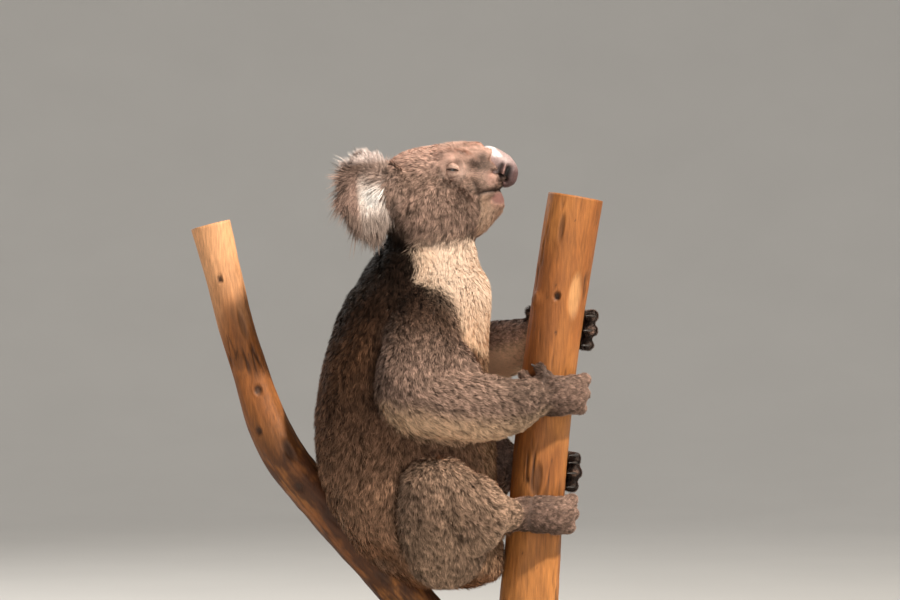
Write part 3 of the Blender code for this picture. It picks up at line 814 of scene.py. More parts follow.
def under_pad(points):
    """Each point's distance in the side view to the nearest place on the pad, and the pad's half width,
    turn in degrees and place down the profile there. Points away from the muzzle get a distance of 1 m."""
    gap, half, turn, down = np.ones(len(points)), *np.zeros((3, len(points)))
    near = np.flatnonzero(on_muzzle(points))
    flat = points[near][:, [0, 2]]
    apart = np.sum(flat**2, 1)[:, None] + np.sum(PAD_PLACES**2, 1) - 2 * flat @ PAD_PLACES.T
    best = apart.argmin(1)
    gap[near] = np.sqrt(np.maximum(apart[np.arange(len(near)), best], 0))
    half[near], turn[near], down[near] = PAD_HALF[best], PAD_TURN[best], PAD_SHARE[best]
    return gap, half, turn, down


# %% Pressing the muzzle under the pad
SHALLOW, DEEP = 0.0042, 0.0094
for step in range(3):
    points = mesh_points(skin)
    near = np.flatnonzero(on_muzzle(points))
    _, along = near_line(points[near], PAD_ROWS[:, :2])
    place = along * (len(PAD_ROWS) - 1)
    x, z, wide, out_x, out_z = (
        np.interp(place, np.arange(len(PAD_ROWS)), column) for column in (*PAD_ROWS[:, :3].T, *PAD_OUT.T)
    )
    depth = (x - points[near, 0]) * out_x + (z - points[near, 2]) * out_z
    ends = soft_step(along, 0.0, 0.03) * (1 - soft_step(along, 0.985, 1.0))
    push = np.maximum(0.004 - depth, 0) * ends * (1 - soft_step(np.abs(points[near, 1]) - wide, 0.001, 0.006))
    points[near] -= push[:, None] * np.column_stack([out_x, 0 * out_x, out_z])
    gap, half, turn, down = under_pad(points)
    inset = SHALLOW + (DEEP - SHALLOW) * (1 - soft_step(turn, 76, 90))
    limit = np.maximum(half - inset, 0) + 1.8 * np.maximum(gap - 0.0005, 0)
    share = soft_step(turn, 10, 30) * (1 - soft_step(gap, 0.003, 0.01)) * soft_step(down, 0.16, 0.3)
    share *= soft_step(points[:, 2], 0.744, 0.752)
    points[:, 1] -= np.sign(points[:, 1]) * np.maximum(np.abs(points[:, 1]) - limit, 0) * share
    put_points(skin, points)
    if step < 2:
        smoothed(skin, 2, where=lambda p: blob(p, (0.118, 0, 0.776), (0.036, 0.034, 0.034), 0.4))

# %% [markdown]
# ## Thinning what the coat hides
#
# Decimation collapses the edges that change the shape least. A vertex group keeps it off the face,
# the hands and the feet, where the coat is thin.

# %% Thinning the body
KEPT = 0.42  # share of the faces that stay
points = mesh_points(skin)
x, y, z = points.T
shown = soft_step(x, 0.03, 0.045) * soft_step(z, 0.695, 0.705)
digits_zone = soft_step(x, 0.15, 0.16) * (z < 0.66)
thin = skin.modifiers.new("thin", "DECIMATE")
thin.ratio = KEPT
thin.vertex_group = weighted_group(skin, "coated", 1 - np.maximum(shown, 0.75 * digits_zone))
thin.use_collapse_triangulate = True
applied(skin)
skin.vertex_groups.clear()
skin.data.calc_loop_triangles()
print("skin after thinning:", len(skin.data.loop_triangles), "triangles")
SKIN_POINTS, SKIN_NORMALS = mesh_points(skin), mesh_normals(skin)
shares, _ = body_shares(SKIN_POINTS)
print("points by part:", dict(zip(PARTS, np.bincount(shares.argmax(1), minlength=len(PARTS)).tolist())))

# %% [markdown]
# ## Ear flaps and eyelids join the skin
#
# The ears and the lids over the eyeballs are thinner than the voxels of the remesh. Both are worked out
# as their own fine grids, with their roots buried in the head, and joined to the skin's mesh. A koala by
# day keeps its eyes almost shut, so each lid is a ring that starts at a narrow almond slit on the
# eyeball, rolls over a rounded rim, dips into one crease and runs out under the face.

# %% Lids
def on_eye(side, across, lift, radius):
    """Points round the eyeball: angles along the slit and up from it, in degrees, and a radius."""
    middle, out, along, up = eye_frame(side)
    h, v = np.radians(across), np.radians(lift)
    way = (
        (np.cos(h) * np.cos(v))[..., None] * out
        + (np.sin(h) * np.cos(v))[..., None] * along
        + np.sin(v)[..., None] * up
    )
    return middle + radius[..., None] * way


# Rows of a lid from the slit outwards: share of the way out, and radius over the eyeball in mm.
LID_ROWS = np.array([
    (-0.03, 7.9), (-0.008, 8.75), (0.0, 9.02), (0.02, 9.22), (0.05, 9.36), (0.09, 9.42), (0.13, 9.4),
    (0.17, 9.3), (0.2, 9.28), (0.24, 9.4), (0.3, 9.56), (0.38, 9.68), (0.5, 9.8), (0.65, 10.0),
    (0.8, 10.3), (1.0, 10.6),
])
LID_AROUND = 96
SLIT_LONG, SLIT_UP, SLIT_DOWN, LID_EDGE = 54, 8, 6, 86  # degrees from the middle of the eye


def lid_ring(side):
    """From the almond-shaped slit, whose height follows |sin t|^1.6, to a circle."""
    turn = full_turn(LID_AROUND)
    lift = np.where(np.sin(turn) > 0, SLIT_UP, SLIT_DOWN) * np.sin(turn) * np.abs(np.sin(turn)) ** 0.6
    slit = np.stack([SLIT_LONG * np.cos(turn), lift], -1)
    circle = LID_EDGE * np.stack([np.cos(turn), np.sin(turn)], -1)
    share = LID_ROWS[:, 0][:, None, None]
    angles = slit * (1 - share) + circle * share
    radius = np.repeat(LID_ROWS[:, 1:2] * MM, LID_AROUND, axis=1)
    # The upper lid is the heavier one and hangs a little further out.
    radius = radius + 0.0003 * np.sin(turn) * bell(LID_ROWS[:, :1] - 0.06, 0.08)
    return on_eye(side, angles[..., 0], angles[..., 1], radius)


def open_ring(rings, outward):
    """Points and faces of a ring-shaped sheet that faces the given way."""
    quads, _ = ring_faces(*rings.shape[:2])
    points = rings.reshape(-1, 3)
    a, b, c = (points[quads[:, k]] for k in range(3))
    if np.sum(np.cross(b - a, c - a) @ outward) < 0:
        quads = quads[:, ::-1]
    return points, quads.tolist()


# %% Joining ears and lids
skin_faces = [list(polygon.vertices) for polygon in skin.data.polygons]
sheets = [(SKIN_POINTS, skin_faces)]
sheets += [closed(ear_surface(side)) for side in (RIGHT, LEFT)]
sheets += [open_ring(lid_ring(side), eye_frame(side)[1]) for side in (RIGHT, LEFT)]
bpy.data.objects.remove(skin)
skin = new_object("skin", *joined(sheets))
EAR_START = len(SKIN_POINTS)
LID_START = EAR_START + sum(len(sheet[0]) for sheet in sheets[1:3])
SKIN_POINTS, SKIN_NORMALS = mesh_points(skin), mesh_normals(skin)
print("skin with ears and lids:", len(SKIN_POINTS), "points")

# %% [markdown]
# ## Eyeballs
#
# Between the lids only a sliver of a dark brown eye shows. The eyeball is a sphere with a slightly
# bulged cornea, coloured in rings round the way it looks: an upright black pupil, a brown iris with
# radial streaks, a dark rim and a grey-brown white.

# %% Eyeballs
def eyeball(side):
    """A sphere by two angles round the looking direction, the cornea raised by 0.4 mm as a bell.
    Returns its surface and one colour for each point."""
    middle, out, along, up = eye_frame(side)
    lean = np.radians(np.linspace(1.5, 178, 60))[:, None]
    turn = full_turn(72)[None, :]
    radius = EYE_RADIUS * (1 + 0.04 * bell(lean, 0.45)) + 0 * turn
    x, y, z = np.sin(lean) * np.cos(turn), np.sin(lean) * np.sin(turn), np.cos(lean) + 0 * turn
    rings = middle + radius[..., None] * (x[..., None] * along + y[..., None] * up + z[..., None] * out)
    from_middle = np.degrees(lean) + 0 * turn
    streaks = 0.75 + 0.25 * np.cos(23 * turn + 3 * np.sin(7 * turn))
    iris = mix((0.03, 0.013, 0.006), (0.07, 0.032, 0.014), soft_step(from_middle, 16, 34) * streaks)
    colour = mix(iris, (0.012, 0.007, 0.004), soft_step(from_middle, 40, 46))
    colour = mix(colour, (0.16, 0.12, 0.11), soft_step(from_middle, 48, 56))
    pupil = 1 - soft_step(np.hypot(x * 3.2, y), 0.28, 0.34)
    colour = mix(colour, (0.004, 0.003, 0.003), np.where(z > 0, pupil, 0))
    colour = np.vstack([colour.reshape(-1, 3), colour[0, :1], colour[-1, :1]])
    return closed(rings), colour


# %% [markdown]
# ## The nose pad
#
# The koala's nose is its boldest feature: a spoon of bare, finely pebbled leather from the brow line to
# the mouth, about 50 mm tall and 38 mm wide. One parameter of its surface runs down the middle profile,
# the other round from flank to flank along half an ellipse. Nostrils are commas on the lower flanks,
# and a groove behind each one lifts its rim.

# %% Nose pad
NOSTRIL = np.array([(136.8, 775.0), (135.6, 770.5), (134.0, 766.0), (131.5, 762.4)]) * MM
NOSTRIL_GROOVE = np.array([(127.0, 779.0), (123.8, 773.5), (122.3, 766.5), (123.5, 759.5)]) * MM


def nose_surface():
    """Profile point, minus depth (1 - cos v)^1.15 along the profile's normal, plus width sin v sideways,
    with v from -118 to 118 degrees. Returns the rings and their marks (nostril, groove, rim, pebbles)."""
    rows = through(NOSE_PROFILE * MM, 120)
    middle = np.stack([rows[:, 0], 0 * rows[:, 0], rows[:, 1]], -1)
    down = unit(np.gradient(middle, axis=0))
    outward = unit(np.cross(down, (0.0, 1.0, 0.0)))
    turn = np.radians(np.linspace(-118, 118, 132))
    width, depth = rows[:, 2:3], rows[:, 3:4]
    rings = (
        middle[:, None]
        - (depth * (1 - np.cos(turn)) ** 1.15)[..., None] * outward[:, None]
        + (width * np.sin(turn))[..., None] * np.array((0.0, 1.0, 0.0))
    )
    flat = rings.reshape(-1, 3)
    side = soft_step(np.abs(flat[:, 1]), 0.006, 0.011)
    gap, along = near_line(flat, NOSTRIL)
    hole = bell(gap, 0.003 + 0.001 * (1 - along)) * side
    groove_gap, _ = near_line(flat, NOSTRIL_GROOVE)
    groove = bell(groove_gap, 0.0027) * side
    rim = bell(gap - 0.0062, 0.0014) * side * soft_step(0.1335 - flat[:, 0], 0, 0.003)
    split = bell(flat[:, 1], 0.0012) * soft_step(0.774 - flat[:, 2], 0, 0.008)
    pebble = rough_noise(flat, 0.003, 11)
    push = -0.0058 * hole - 0.0024 * groove + 0.001 * rim - 0.0012 * split + 0.00022 * pebble
    swell = 0.0006 * rough_noise(flat, 0.012, 5)
    facing = np.repeat(outward, len(turn), axis=0) * np.cos(np.tile(turn, len(rows)))[:, None]
    facing[:, 1] += np.sin(np.tile(turn, len(rows)))
    flat = flat + unit(facing) * (push + swell)[:, None]
    return flat.reshape(rings.shape), hole, groove, rim, pebble


def nose_colours(flat, hole, groove, rim, pebble):
    """Mauve-black leather, paler towards the top, partly bare of pigment and partly a painted highlight:
    a white patch at the top and a pinkish-grey fade below it. Pink rims behind the nostrils are partly a
    painted highlight, and the dark grooves behind them and the black holes are painted shade."""
    leather = mix((0.068, 0.036, 0.037), (0.14, 0.078, 0.077), 0.5 + 0.32 * pebble)
    height = flat[:, 2]
    # Paler towards the top: partly skin bare of pigment, partly a painted highlight.
    fade = soft_step(height, 0.768, 0.79)
    colour = mix(leather, (0.44, 0.32, 0.305) * (0.94 + 0.06 * pebble)[:, None], 0.85 * fade)
    ragged = 0.0022 * rough_noise(flat, 0.006, 3)
    # The white patch ends along a slanting line in front and a level one below, with a round corner.
    front = ((flat[:, 0] - 0.1185) * 0.013 - (0.802 - height) * 0.0095) / 0.0161
    below = 0.7895 - height
    outside = np.hypot(np.maximum(front + 0.004, 0), np.maximum(below + 0.004, 0)) - 0.004
    white = 1 - soft_step(outside + 0.8 * ragged, -0.0016, 0.0018)
    colour = mix(colour, (0.64, 0.58, 0.585), white)
    flank = blob(both_sides(flat), (0.129, 0.016, 0.768), (0.0115, 0.014, 0.0115), 0.5)
    colour = mix(colour, (0.05, 0.024, 0.023), 0.75 * flank)
    # Pink rims behind the nostrils, partly a painted highlight.
    colour = mix(colour, (0.36, 0.21, 0.185), 0.85 * rim)
    # Painted shade in the grooves behind the nostrils and in the nostril holes.
    colour = mix(colour, (0.022, 0.011, 0.01), np.clip(1.1 * groove, 0, 1))
    return mix(colour, (0.004, 0.002, 0.002), np.clip(hole * 1.4, 0, 1))


# %% [markdown]
# ## Claws
#
# Each digit ends in a long black hook that grips the wood. Its path carries on the bend of its digit
# round the post and closes in on the wood, and its section thins from a rounded root to a point.

# %% Claws
CLAW_RADIUS, CLAW_TURN = 0.0036, 28
TOE_CLAW_OFFSETS = {"second_third": (0.0045, -0.0045), "fourth": (0.0,), "fifth": (0.0,), "big_toe": ()}


def claw_surface(level, heights, angles, radius, side, offset=0.0):
    """A further turn round the post, the distance closing in as the square of the way along, and the
    radius falling as (1 - t)^0.62 after a slight swelling."""
    share = np.linspace(0, 1, 12)
    way = 1 if angles[1] > angles[0] else -1
    turn = angles[1] + way * (CLAW_TURN * share - 3)
    slope = np.clip((heights[1] - heights[0]) / abs(angles[1] - angles[0]), -0.0002, 0.0002)
    rise = level + heights[1] + offset + slope * way * (turn - angles[1])
    start, end = POST_RADIUS + radius + 0.003, POST_RADIUS + 0.0022
    path = by_post(rise, turn, start + (end - start) * share**2, side)
    radii = CLAW_RADIUS * (1.02 + 0.1 * np.sin(math.pi * np.minimum(2.2 * share, 1))) * (1 - share) ** 0.62
    return tube(path, np.maximum(radii, 0.00016), 0.72, (0, 0, 1), along=34, around=18, caps=(70, 40, 15))


def claws_of(kind, level, digits, side):
    """Every claw of one hand or foot, with the frame nodes that they stand for."""
    surfaces, nodes = [], []
    for name, (heights, angles, radius) in digits.items():
        offsets = TOE_CLAW_OFFSETS[name] if kind == "foot" else (0.0,)
        for number, offset in enumerate(offsets):
            suffix = f"_{number + 1}" if len(offsets) > 1 else ""
            nodes.append(f"claw_{kind}_{SIDE_NAMES[side]}_{name}{suffix}")
            surfaces.append(closed(claw_surface(level, heights, angles, radius, side, offset)))
    return joined(surfaces), nodes

# %% [markdown]
# ## Markings
#
# Skin and coat are painted by the same function of place, so a gap between tufts never shows another
# colour. The coat is ash grey with warm tips, darkest on the nape, partly as painted shade, paler on limbs
# and crown, and white on throat, chest and ears. The crown is partly painted light from above, the inner
# sides of the limbs partly painted bounce light, and the folds and the rump's underside carry painted
# shade. The colours are in linear light, albedos apart from this painted light and shade, laid over each
# other as soft masks whose edges are broken by noise.

# %% Colours of the coat
# Darker upwards: partly the darker fur of the back, partly painted shade on the upper back, and near-black
# painted shade on the nape under the ear.
GREY_BACK = np.array([  # height, then the colour down the back
    (0.26, 0.31, 0.196, 0.138), (0.36, 0.26, 0.164, 0.116), (0.46, 0.14, 0.083, 0.058),
    (0.54, 0.096, 0.051, 0.031), (0.6, 0.032, 0.016, 0.01), (0.64, 0.012, 0.006, 0.004),
    (0.73, 0.007, 0.004, 0.003),
])
GREY_ARM = np.array((0.25, 0.164, 0.127))
GREY_LEG = np.array((0.235, 0.152, 0.106))
GREY_HAND = np.array((0.2, 0.128, 0.1))
WHITE = np.array((0.9, 0.69, 0.535))
CREAM = np.array((0.52, 0.355, 0.235))
# The crown: paler fur, brightened further as painted light falling on the top of the head.
CROWN_AND_TOP_LIGHT = np.array((0.74, 0.485, 0.392))
CHEEKS = np.array((0.275, 0.18, 0.14))
# The white bib's edge in the side view: height, and the x that it reaches back to.
BIB_EDGE = np.array([
    (0.53, 0.118), (0.546, 0.102), (0.565, 0.072), (0.599, 0.04), (0.649, 0.022), (0.7, 0.018),
])
# The inner sides of legs, hands and feet: paler fur, lightened further as painted bounce light.
PALE_INSIDE_AND_BOUNCE = (0.52, 0.375, 0.315)  # the inner sides of legs, hands and feet
# Soft spots on the face: colour, strength, middle, radii, and the width of the edge.
FACE_SPOTS = [
    # Painted shade with darker fur: the darker sides of the bridge between eye and nose, in the hollow before
    # the eye, and a dark line under the brow; and painted shade in the cheek's hollow.
    ((0.06, 0.037, 0.029), 0.95, (0.0975, 0.035, 0.778), (0.011, 0.03, 0.008), 0.9),
    ((0.085, 0.052, 0.04), 0.8, (0.103, 0.028, 0.7885), (0.006, 0.03, 0.0065), 0.8),
    ((0.11, 0.074, 0.057), 0.6, (0.112, 0.03, 0.777), (0.014, 0.022, 0.008), 0.5),
    ((0.11, 0.074, 0.057), 0.55, (0.095, 0.035, 0.752), (0.013, 0.024, 0.007), 0.6),
    # Bare pinkish skin before and under the eye.
    ((0.84, 0.6, 0.5), 0.9, (0.0775, 0.045, 0.7715), (0.01, 0.02, 0.0068), 0.5),
    ((0.72, 0.52, 0.43), 0.65, (0.066, 0.045, 0.765), (0.012, 0.02, 0.006), 0.6),
    # Pale fur on the upper lip beside the nose, and between it and the nostril dark skin with the painted
    # shade of the groove behind the nostril.
    ((0.68, 0.43, 0.35), 0.92, (0.114, 0.02, 0.762), (0.008, 0.024, 0.0085), 0.5),
    ((0.05, 0.028, 0.026), 0.9, (0.127, 0.02, 0.769), (0.005, 0.03, 0.012), 0.5),
]


def face_colours(points):
    """Crown and cheeks, the spots of FACE_SPOTS, the cream chin, the mauve lower lip, the mouth's line, and
    painted shade along the cheek's fold.
    """
    face = both_sides(points)
    x, _, z = face.T
    wobble = 0.003 * rough_noise(points, 0.009, 21)
    colour = mix(CHEEKS, CROWN_AND_TOP_LIGHT, soft_step(z + wobble + 0.1 * (x - 0.06), 0.757, 0.792))
    for tone, strength, middle, radii, edge in FACE_SPOTS:
        colour = mix(colour, tone, strength * blob(face, middle, radii, edge))
    chin = soft_step(x + wobble, 0.0985, 0.1015) * (1 - soft_step(z, 0.738, 0.744))
    cream = mix((0.6, 0.41, 0.3), (0.47, 0.3, 0.22), soft_step(x, 0.108, 0.125))
    colour = mix(colour, cream, chin * soft_step(z, 0.686, 0.7))
    lip = blob(face, (0.1205, 0.0, 0.737), (0.0135, 0.03, 0.009), 0.3)
    colour = mix(colour, (0.205, 0.092, 0.08), 0.95 * lip)
    gap, _ = near_line(face, MOUTH)
    colour = mix(colour, (0.02, 0.011, 0.009), bell(gap, 0.0021) * soft_step(x, 0.096, 0.106))
    # Painted shade in the fold between cheek and muzzle.
    fold, _ = near_line(face, CHEEK_FOLD)
    return mix(colour, (0.055, 0.036, 0.028), 0.6 * bell(fold, 0.0022) * soft_step(z, 0.7, 0.708))


def markings(points, normals, shares):
    """The colour at each point: every body part's own colour, with its painted light and shade, mixed by the
    shares, then darkened as painted shade in the body's folds.
    """
    x, y, z = points.T
    ragged = 0.006 * rough_noise(points, 0.018, 1)
    back = np.column_stack([np.interp(z, GREY_BACK[:, 0], GREY_BACK[:, k]) for k in (1, 2, 3)])
    belly = soft_step(x + ragged, 0.06, 0.105)
    trunk = mix(back, GREY_LEG * 1.05, 0.75 * belly * (1 - soft_step(z, 0.5, 0.6)))
    edge = np.interp(z, BIB_EDGE[:, 0], BIB_EDGE[:, 1])
    bib = soft_step(x + ragged - edge, -0.004, 0.007) * soft_step(z, 0.515, 0.545)
    low_bib = soft_step(x + ragged, 0.085, 0.11) * soft_step(z, 0.27, 0.33) * (1 - soft_step(z, 0.53, 0.56))
    trunk = mix(trunk, CREAM * 0.9, 0.55 * low_bib)
    rim = 1 - soft_step(x + ragged - edge, 0.006, 0.03)
    trunk = mix(trunk, mix(WHITE, (0.64, 0.45, 0.315), 0.6 * rim), bib)
    # Painted shade: the downward-facing underside of the rump is darker and warmer.
    seat = soft_step(-normals[:, 2], 0.15, 0.75) * (1 - soft_step(z, 0.3, 0.36))
    trunk = trunk * mix((1.0, 1.0, 1.0), (0.58, 0.46, 0.36), seat)
    # The whole trunk is warmer lower down, and the rump has pale flecks.
    trunk = trunk * mix((1.0, 1.0, 1.0), (1.04, 0.94, 0.83), 1 - soft_step(z, 0.56, 0.64))
    rump = (1 - soft_step(z, 0.33, 0.42)) * soft_step(-x, -0.02, 0.04)
    trunk = mix(trunk, (0.3, 0.225, 0.17), 0.35 * soft_step(noise(points, 0.03, 9), 0.25, 0.7) * rump)
    # Arms: dark at the shoulder, which takes the back's colour with its painted shade, pale below and
    # inside, the inside lightened further partly as painted bounce light, and darker outside at the wrist.
    shoulder = soft_step(z + ragged + 0.15 * x, 0.535, 0.605) * (1 - soft_step(x, 0.05, 0.09))
    inner = -np.sign(y) * normals[:, 1]
    pale = soft_step(0.35 * np.maximum(inner, 0) - normals[:, 2], 0.05, 0.6)
    arm = mix(mix(GREY_ARM, back * 1.1, 0.95 * shoulder), CREAM * 1.15, 0.95 * pale)
    wrist = soft_step(x, 0.1, 0.135) * (1 - soft_step(x, 0.19, 0.205))
    inside = soft_step(inner, 0.0, 0.5)
    arm = arm * (1 - 0.52 * wrist * (1 - soft_step(inner, -0.2, 0.4)) + 0.55 * inside)[:, None]
    # Legs and grips: pale inside, partly as painted bounce light, with the heel darker and the palms and
    # soles almost black.
    under = soft_step(-normals[:, 2], 0.05, 0.6)
    leg = GREY_LEG * mix((1.0, 1.0, 1.0), (1.15, 1.15, 1.15), soft_step(z, 0.34, 0.39))
    leg = mix(mix(leg, CREAM * 0.6, 0.3 * under), PALE_INSIDE_AND_BOUNCE, 0.9 * inside)
    grip = mix(GREY_HAND, (0.1, 0.062, 0.045), 0.5 * soft_step(-normals[:, 2], 0.1, 0.8))
    heel = soft_step(x, 0.148, 0.162) * (1 - soft_step(x, 0.182, 0.2)) * (z > 0.45)
    grip = mix(grip, PALE_INSIDE_AND_BOUNCE, 0.9 * inside)
    grip = grip * (1 - 0.35 * heel)[:, None]
    grip = mix(grip, (0.03, 0.021, 0.018), 0.92 * soft_step(inner, -0.05, 0.4) * soft_step(x, 0.15, 0.175))
    head = face_colours(points)
    # The nape takes the back's darkest colour: partly dark fur, partly painted shade under the ear.
    nape = soft_step(-x + 0.35 * (0.735 - z), -0.012, 0.018) * (1 - soft_step(z, 0.715, 0.745))
    head = mix(head, back, nape)
    ear = np.tile((0.22, 0.165, 0.145), (len(points), 1))
    by_part = {"trunk": trunk, "head": head, "ear": ear, "arm": arm, "leg": leg, "grip": grip}
    colour = sum(shares[:, k : k + 1] * by_part[part.split("_")[0]] for k, part in enumerate(PARTS))
    cloudy = 1 + 0.17 * rough_noise(points, 0.024, 2) + 0.2 * noise(points, 0.0048, 6)
    # Painted shade: the colour darkens in the folds of thigh, knee and arm.
    return colour * (cloudy * (1 - 0.8 * folds(points)[1]))[:, None]


# %% [markdown]
# ## How the coat lies
#
# Fur runs down the back and chest, along the arms to the hands, down the haunches, round the post on
# fingers and toes, back over the crown, down the cheeks, and away from the eyes all round. Each body
# part has its own direction, the shares mix them, and what points into the skin is taken off.

# %% Direction, length and thickness
def lie_of_coat(points, normals, shares, extra):
    """Unit directions in the skin's tangent plane."""
    x, y, z = points.T
    side = np.sign(y + 1e-9)
    zero = 0 * x
    spread = 0.22 * side * soft_step(np.abs(y), 0.0, 0.05)
    ways = {"trunk": np.column_stack([0.1 + 0.5 * soft_step(-normals[:, 2], 0.2, 0.9), spread, zero - 1.0])}
    crown = soft_step(z, 0.738, 0.778)
    muzzle = soft_step(x, 0.07, 0.095)
    top = np.column_stack([zero - 1.0, 0.25 * side, zero - 0.18])
    cheek = np.column_stack([zero - 0.3, 0.1 * side, zero - 1.0])
    snout = np.column_stack([zero - 1.0, 0.3 * side, zero - 0.45])
    head = mix(mix(cheek, snout, muzzle * soft_step(z, 0.735, 0.75)), top, crown)
    from_eye = both_sides(points) - EYE_MIDDLE
    away = unit(from_eye)
    away[:, 1] *= side
    ways["head"] = unit(head) + 2.2 * away * bell(np.linalg.norm(from_eye, axis=1) - 0.009, 0.008)[:, None]
    for name in LIMBS:
        rows = PATHS[name][:, :3]
        tangents = unit(np.gradient(rows, axis=0))
        place = (extra[name] * (len(rows) - 1)).astype(int)
        along = tangents[place]
        down = np.column_stack([zero + 0.25, 0.1 * side, zero - 1.0])
        if name.startswith("arm"):
            ways[name] = along + 0.4 * down * (1 + 1.2 * soft_step(-normals[:, 2], 0.1, 0.8))[:, None]
        else:
            ways[name] = mix(down, along + 0.3 * down, soft_step(extra[name], 0.55, 0.85))
        turn = np.radians(extra["grip_" + name])
        forward = np.where(extra["grip_" + name] > 98, -1.0, 1.0)
        limb_side = LIMBS[name]["side"]
        sideways = -forward * limb_side * np.cos(turn)
        ways["grip_" + name] = np.column_stack([forward * np.sin(turn), sideways, zero - 0.12])
    for name in SIDE_NAMES.values():
        ways["ear_" + name] = np.column_stack([zero - 0.8, 0.5 * side, zero - 0.1])
    total = sum(shares[:, k : k + 1] * unit(ways[part]) for k, part in enumerate(PARTS))
    swirl = np.column_stack([noise(points, 0.045, 31 + k) for k in range(3)])
    total = total + 0.28 * swirl
    return unit(total - dot(total, normals) * normals)


# Length, blade width and blades for each square millimetre, part by part.
PART_COAT = {
    "trunk": (0.0165, 0.00085, 0.86), "head": (0.0115, 0.00058, 1.7), "ear": (0.015, 0.0006, 1.0),
    "arm": (0.012, 0.0007, 1.3), "leg": (0.0115, 0.0007, 1.3), "grip": (0.0058, 0.00052, 2.1),
}


def coat_measures(points, normals, shares):
    """Length, width and number of blades at each point."""
    rows = sum(shares[:, k : k + 1] * np.array(PART_COAT[part.split("_")[0]]) for k, part in enumerate(PARTS))
    length, width, dense = rows.T
    face = both_sides(points)
    head = share_of(shares, "head")
    near_nose = soft_step(face[:, 0], 0.055, 0.11) * soft_step(points[:, 2], 0.705, 0.735)
    from_eye = np.linalg.norm(face - EYE_MIDDLE, axis=1)
    small = np.maximum(near_nose, 1 - soft_step(from_eye, 0.012, 0.032)) * head
    top = head * soft_step(points[:, 2], 0.76, 0.785)
    length = length * (1 - 0.68 * small) * (1 - 0.2 * top)
    width = width * (1 - 0.42 * small)
    dense = dense * (1 + 1.3 * small)
    arms = share_of(shares, "arm_right", "arm_left")
    length = length * (1 + 0.45 * arms * soft_step(-normals[:, 2], 0.3, 0.9))
    ruff = blob(face, (0.02, 0.055, 0.69), (0.06, 0.045, 0.022), 0.5)
    length = length * (1 + 0.35 * ruff) * (1 - 0.45 * folds(points)[1])
    for name in LIMBS:
        near = 1 - soft_step(np.linalg.norm(points - limb_path(name)[-1], axis=1), 0.024, 0.066)
        length = length * (1 - 0.5 * near * share_of(shares, name))
    return length, width, dense


# %% Places where nothing grows
def branch_gap(points):
    """Distance from the seat branch's surface, below zero inside the wood."""
    gaps = [np.linalg.norm(points - row[:3], axis=1) - row[3] for row in BRANCH_ROWS]
    return np.min(gaps, axis=0)


def post_radius(height):
    """The post's radius, which grows by 6 mm over the lowest 0.24 m."""
    return POST_RADIUS + 0.006 * np.clip((0.3 - height) / 0.24, 0, 1)


def post_gap(points):
    """Distance from the post's surface, below zero inside the wood and far outside it past its ends."""
    x, y, z = points.T
    gap = np.hypot(x - post_axis(z), y) - post_radius(z)
    return np.where((z > 0.06) & (z < 0.742), gap, 1.0)


BRANCH_PATH = [  # x, y, z and radius
    (-0.237, 0, 0.705, 0.024), (-0.196, 0, 0.55, 0.0215), (-0.152, 0, 0.43, 0.0265),
    (-0.085, 0, 0.344, 0.027), (0.011, 0, 0.239, 0.027), (0.08, 0, 0.168, 0.028),
    (0.15, 0, 0.112, 0.03),
]
BRANCH_ROWS = through(BRANCH_PATH, 80)


def bare(points):
    """True on the eyelids, the nose pad, the lips and against the wood."""
    face = both_sides(points)
    middle, _, along, up = eye_frame(LEFT)
    off = face - middle
    from_slit = np.hypot(off @ along / 0.0094, (off @ up) / 0.0036)
    eye = (from_slit < 1) & (np.linalg.norm(off, axis=1) < 0.016)
    gap, half, _, _ = under_pad(points)
    pad = (gap < 0.0006) & (np.abs(points[:, 1]) < half + 0.001)
    gap, _ = near_line(face, MOUTH)
    lips = (gap < 0.0016) & (face[:, 0] > 0.1) & (np.abs(points[:, 2] - 0.745) < 0.02)
    lower_lip = np.linalg.norm((face - (0.1225, 0.0, 0.738)) / (0.013, 0.03, 0.008), axis=1) < 1
    return eye | pad | lips | lower_lip | (post_gap(points) < 0.0008) | (branch_gap(points) < 0.0008)


# %% [markdown]
# ## Tufts as solid mesh
#
# Hair particles can't leave the program, so the coat is real mesh: about 125 thousand tufts of five
# blades on the body, each one a narrow leaf that lies along it and rises to the depth of the coat. A blade
# is a kite: a root, two corners at its joint and a point. Where the coat is short it is a plain spike.
# The blades of a tuft lean towards a common tip, and tufts lean up the slope of a noise, which parts
# the coat into the small locks of real fur.

# %% Growing tufts
BLADES = 5
PATCH = 0.0024  # a blade's size on the map


def roots_on(points, triangles, dense, rng):
    """Random roots on triangles: steps of equal size along the summed area times density, each with random
    weights of its triangle's corners. Returns triangle numbers and weights."""
    a, b, c = (points[triangles[:, k]] for k in range(3))
    area = 0.5 * np.linalg.norm(np.cross(b - a, c - a), axis=1) / MM**2
    total = np.cumsum(area * dense)
    count = int(total[-1])
    steps = (np.arange(count) + rng.uniform(0, 1, count)) * total[-1] / count
    chosen = np.minimum(np.searchsorted(total, steps), len(triangles) - 1)
    first, second = rng.uniform(0, 1, (2, count))
    root = np.sqrt(first)
    return chosen, np.column_stack([1 - root, root * (1 - second), root * second])


def uphill(points, normals, lie, size, seed):
    """The slope of a noise along the skin, as a vector in the tangent plane."""
    across = np.cross(normals, lie)
    here = noise(points, size, seed)
    step = size * 0.15
    slopes = [(noise(points + step * way, size, seed) - here) / 0.15 for way in (lie, across)]
    return here, slopes[0][:, None] * lie + slopes[1][:, None] * across


def joint_order(joints):
    """The corners of a blade as (joint, side): a single root, pairs at the joints between, and the tip. A
    spike without joints between has a pair at its root."""
    last = len(joints) - 1
    pairs = [(k, s) for k in range(1, last) for s in (-1, 1)]
    return ([(0, 0)] + pairs if pairs else [(0, -1), (0, 1)]) + [(last, 0)]


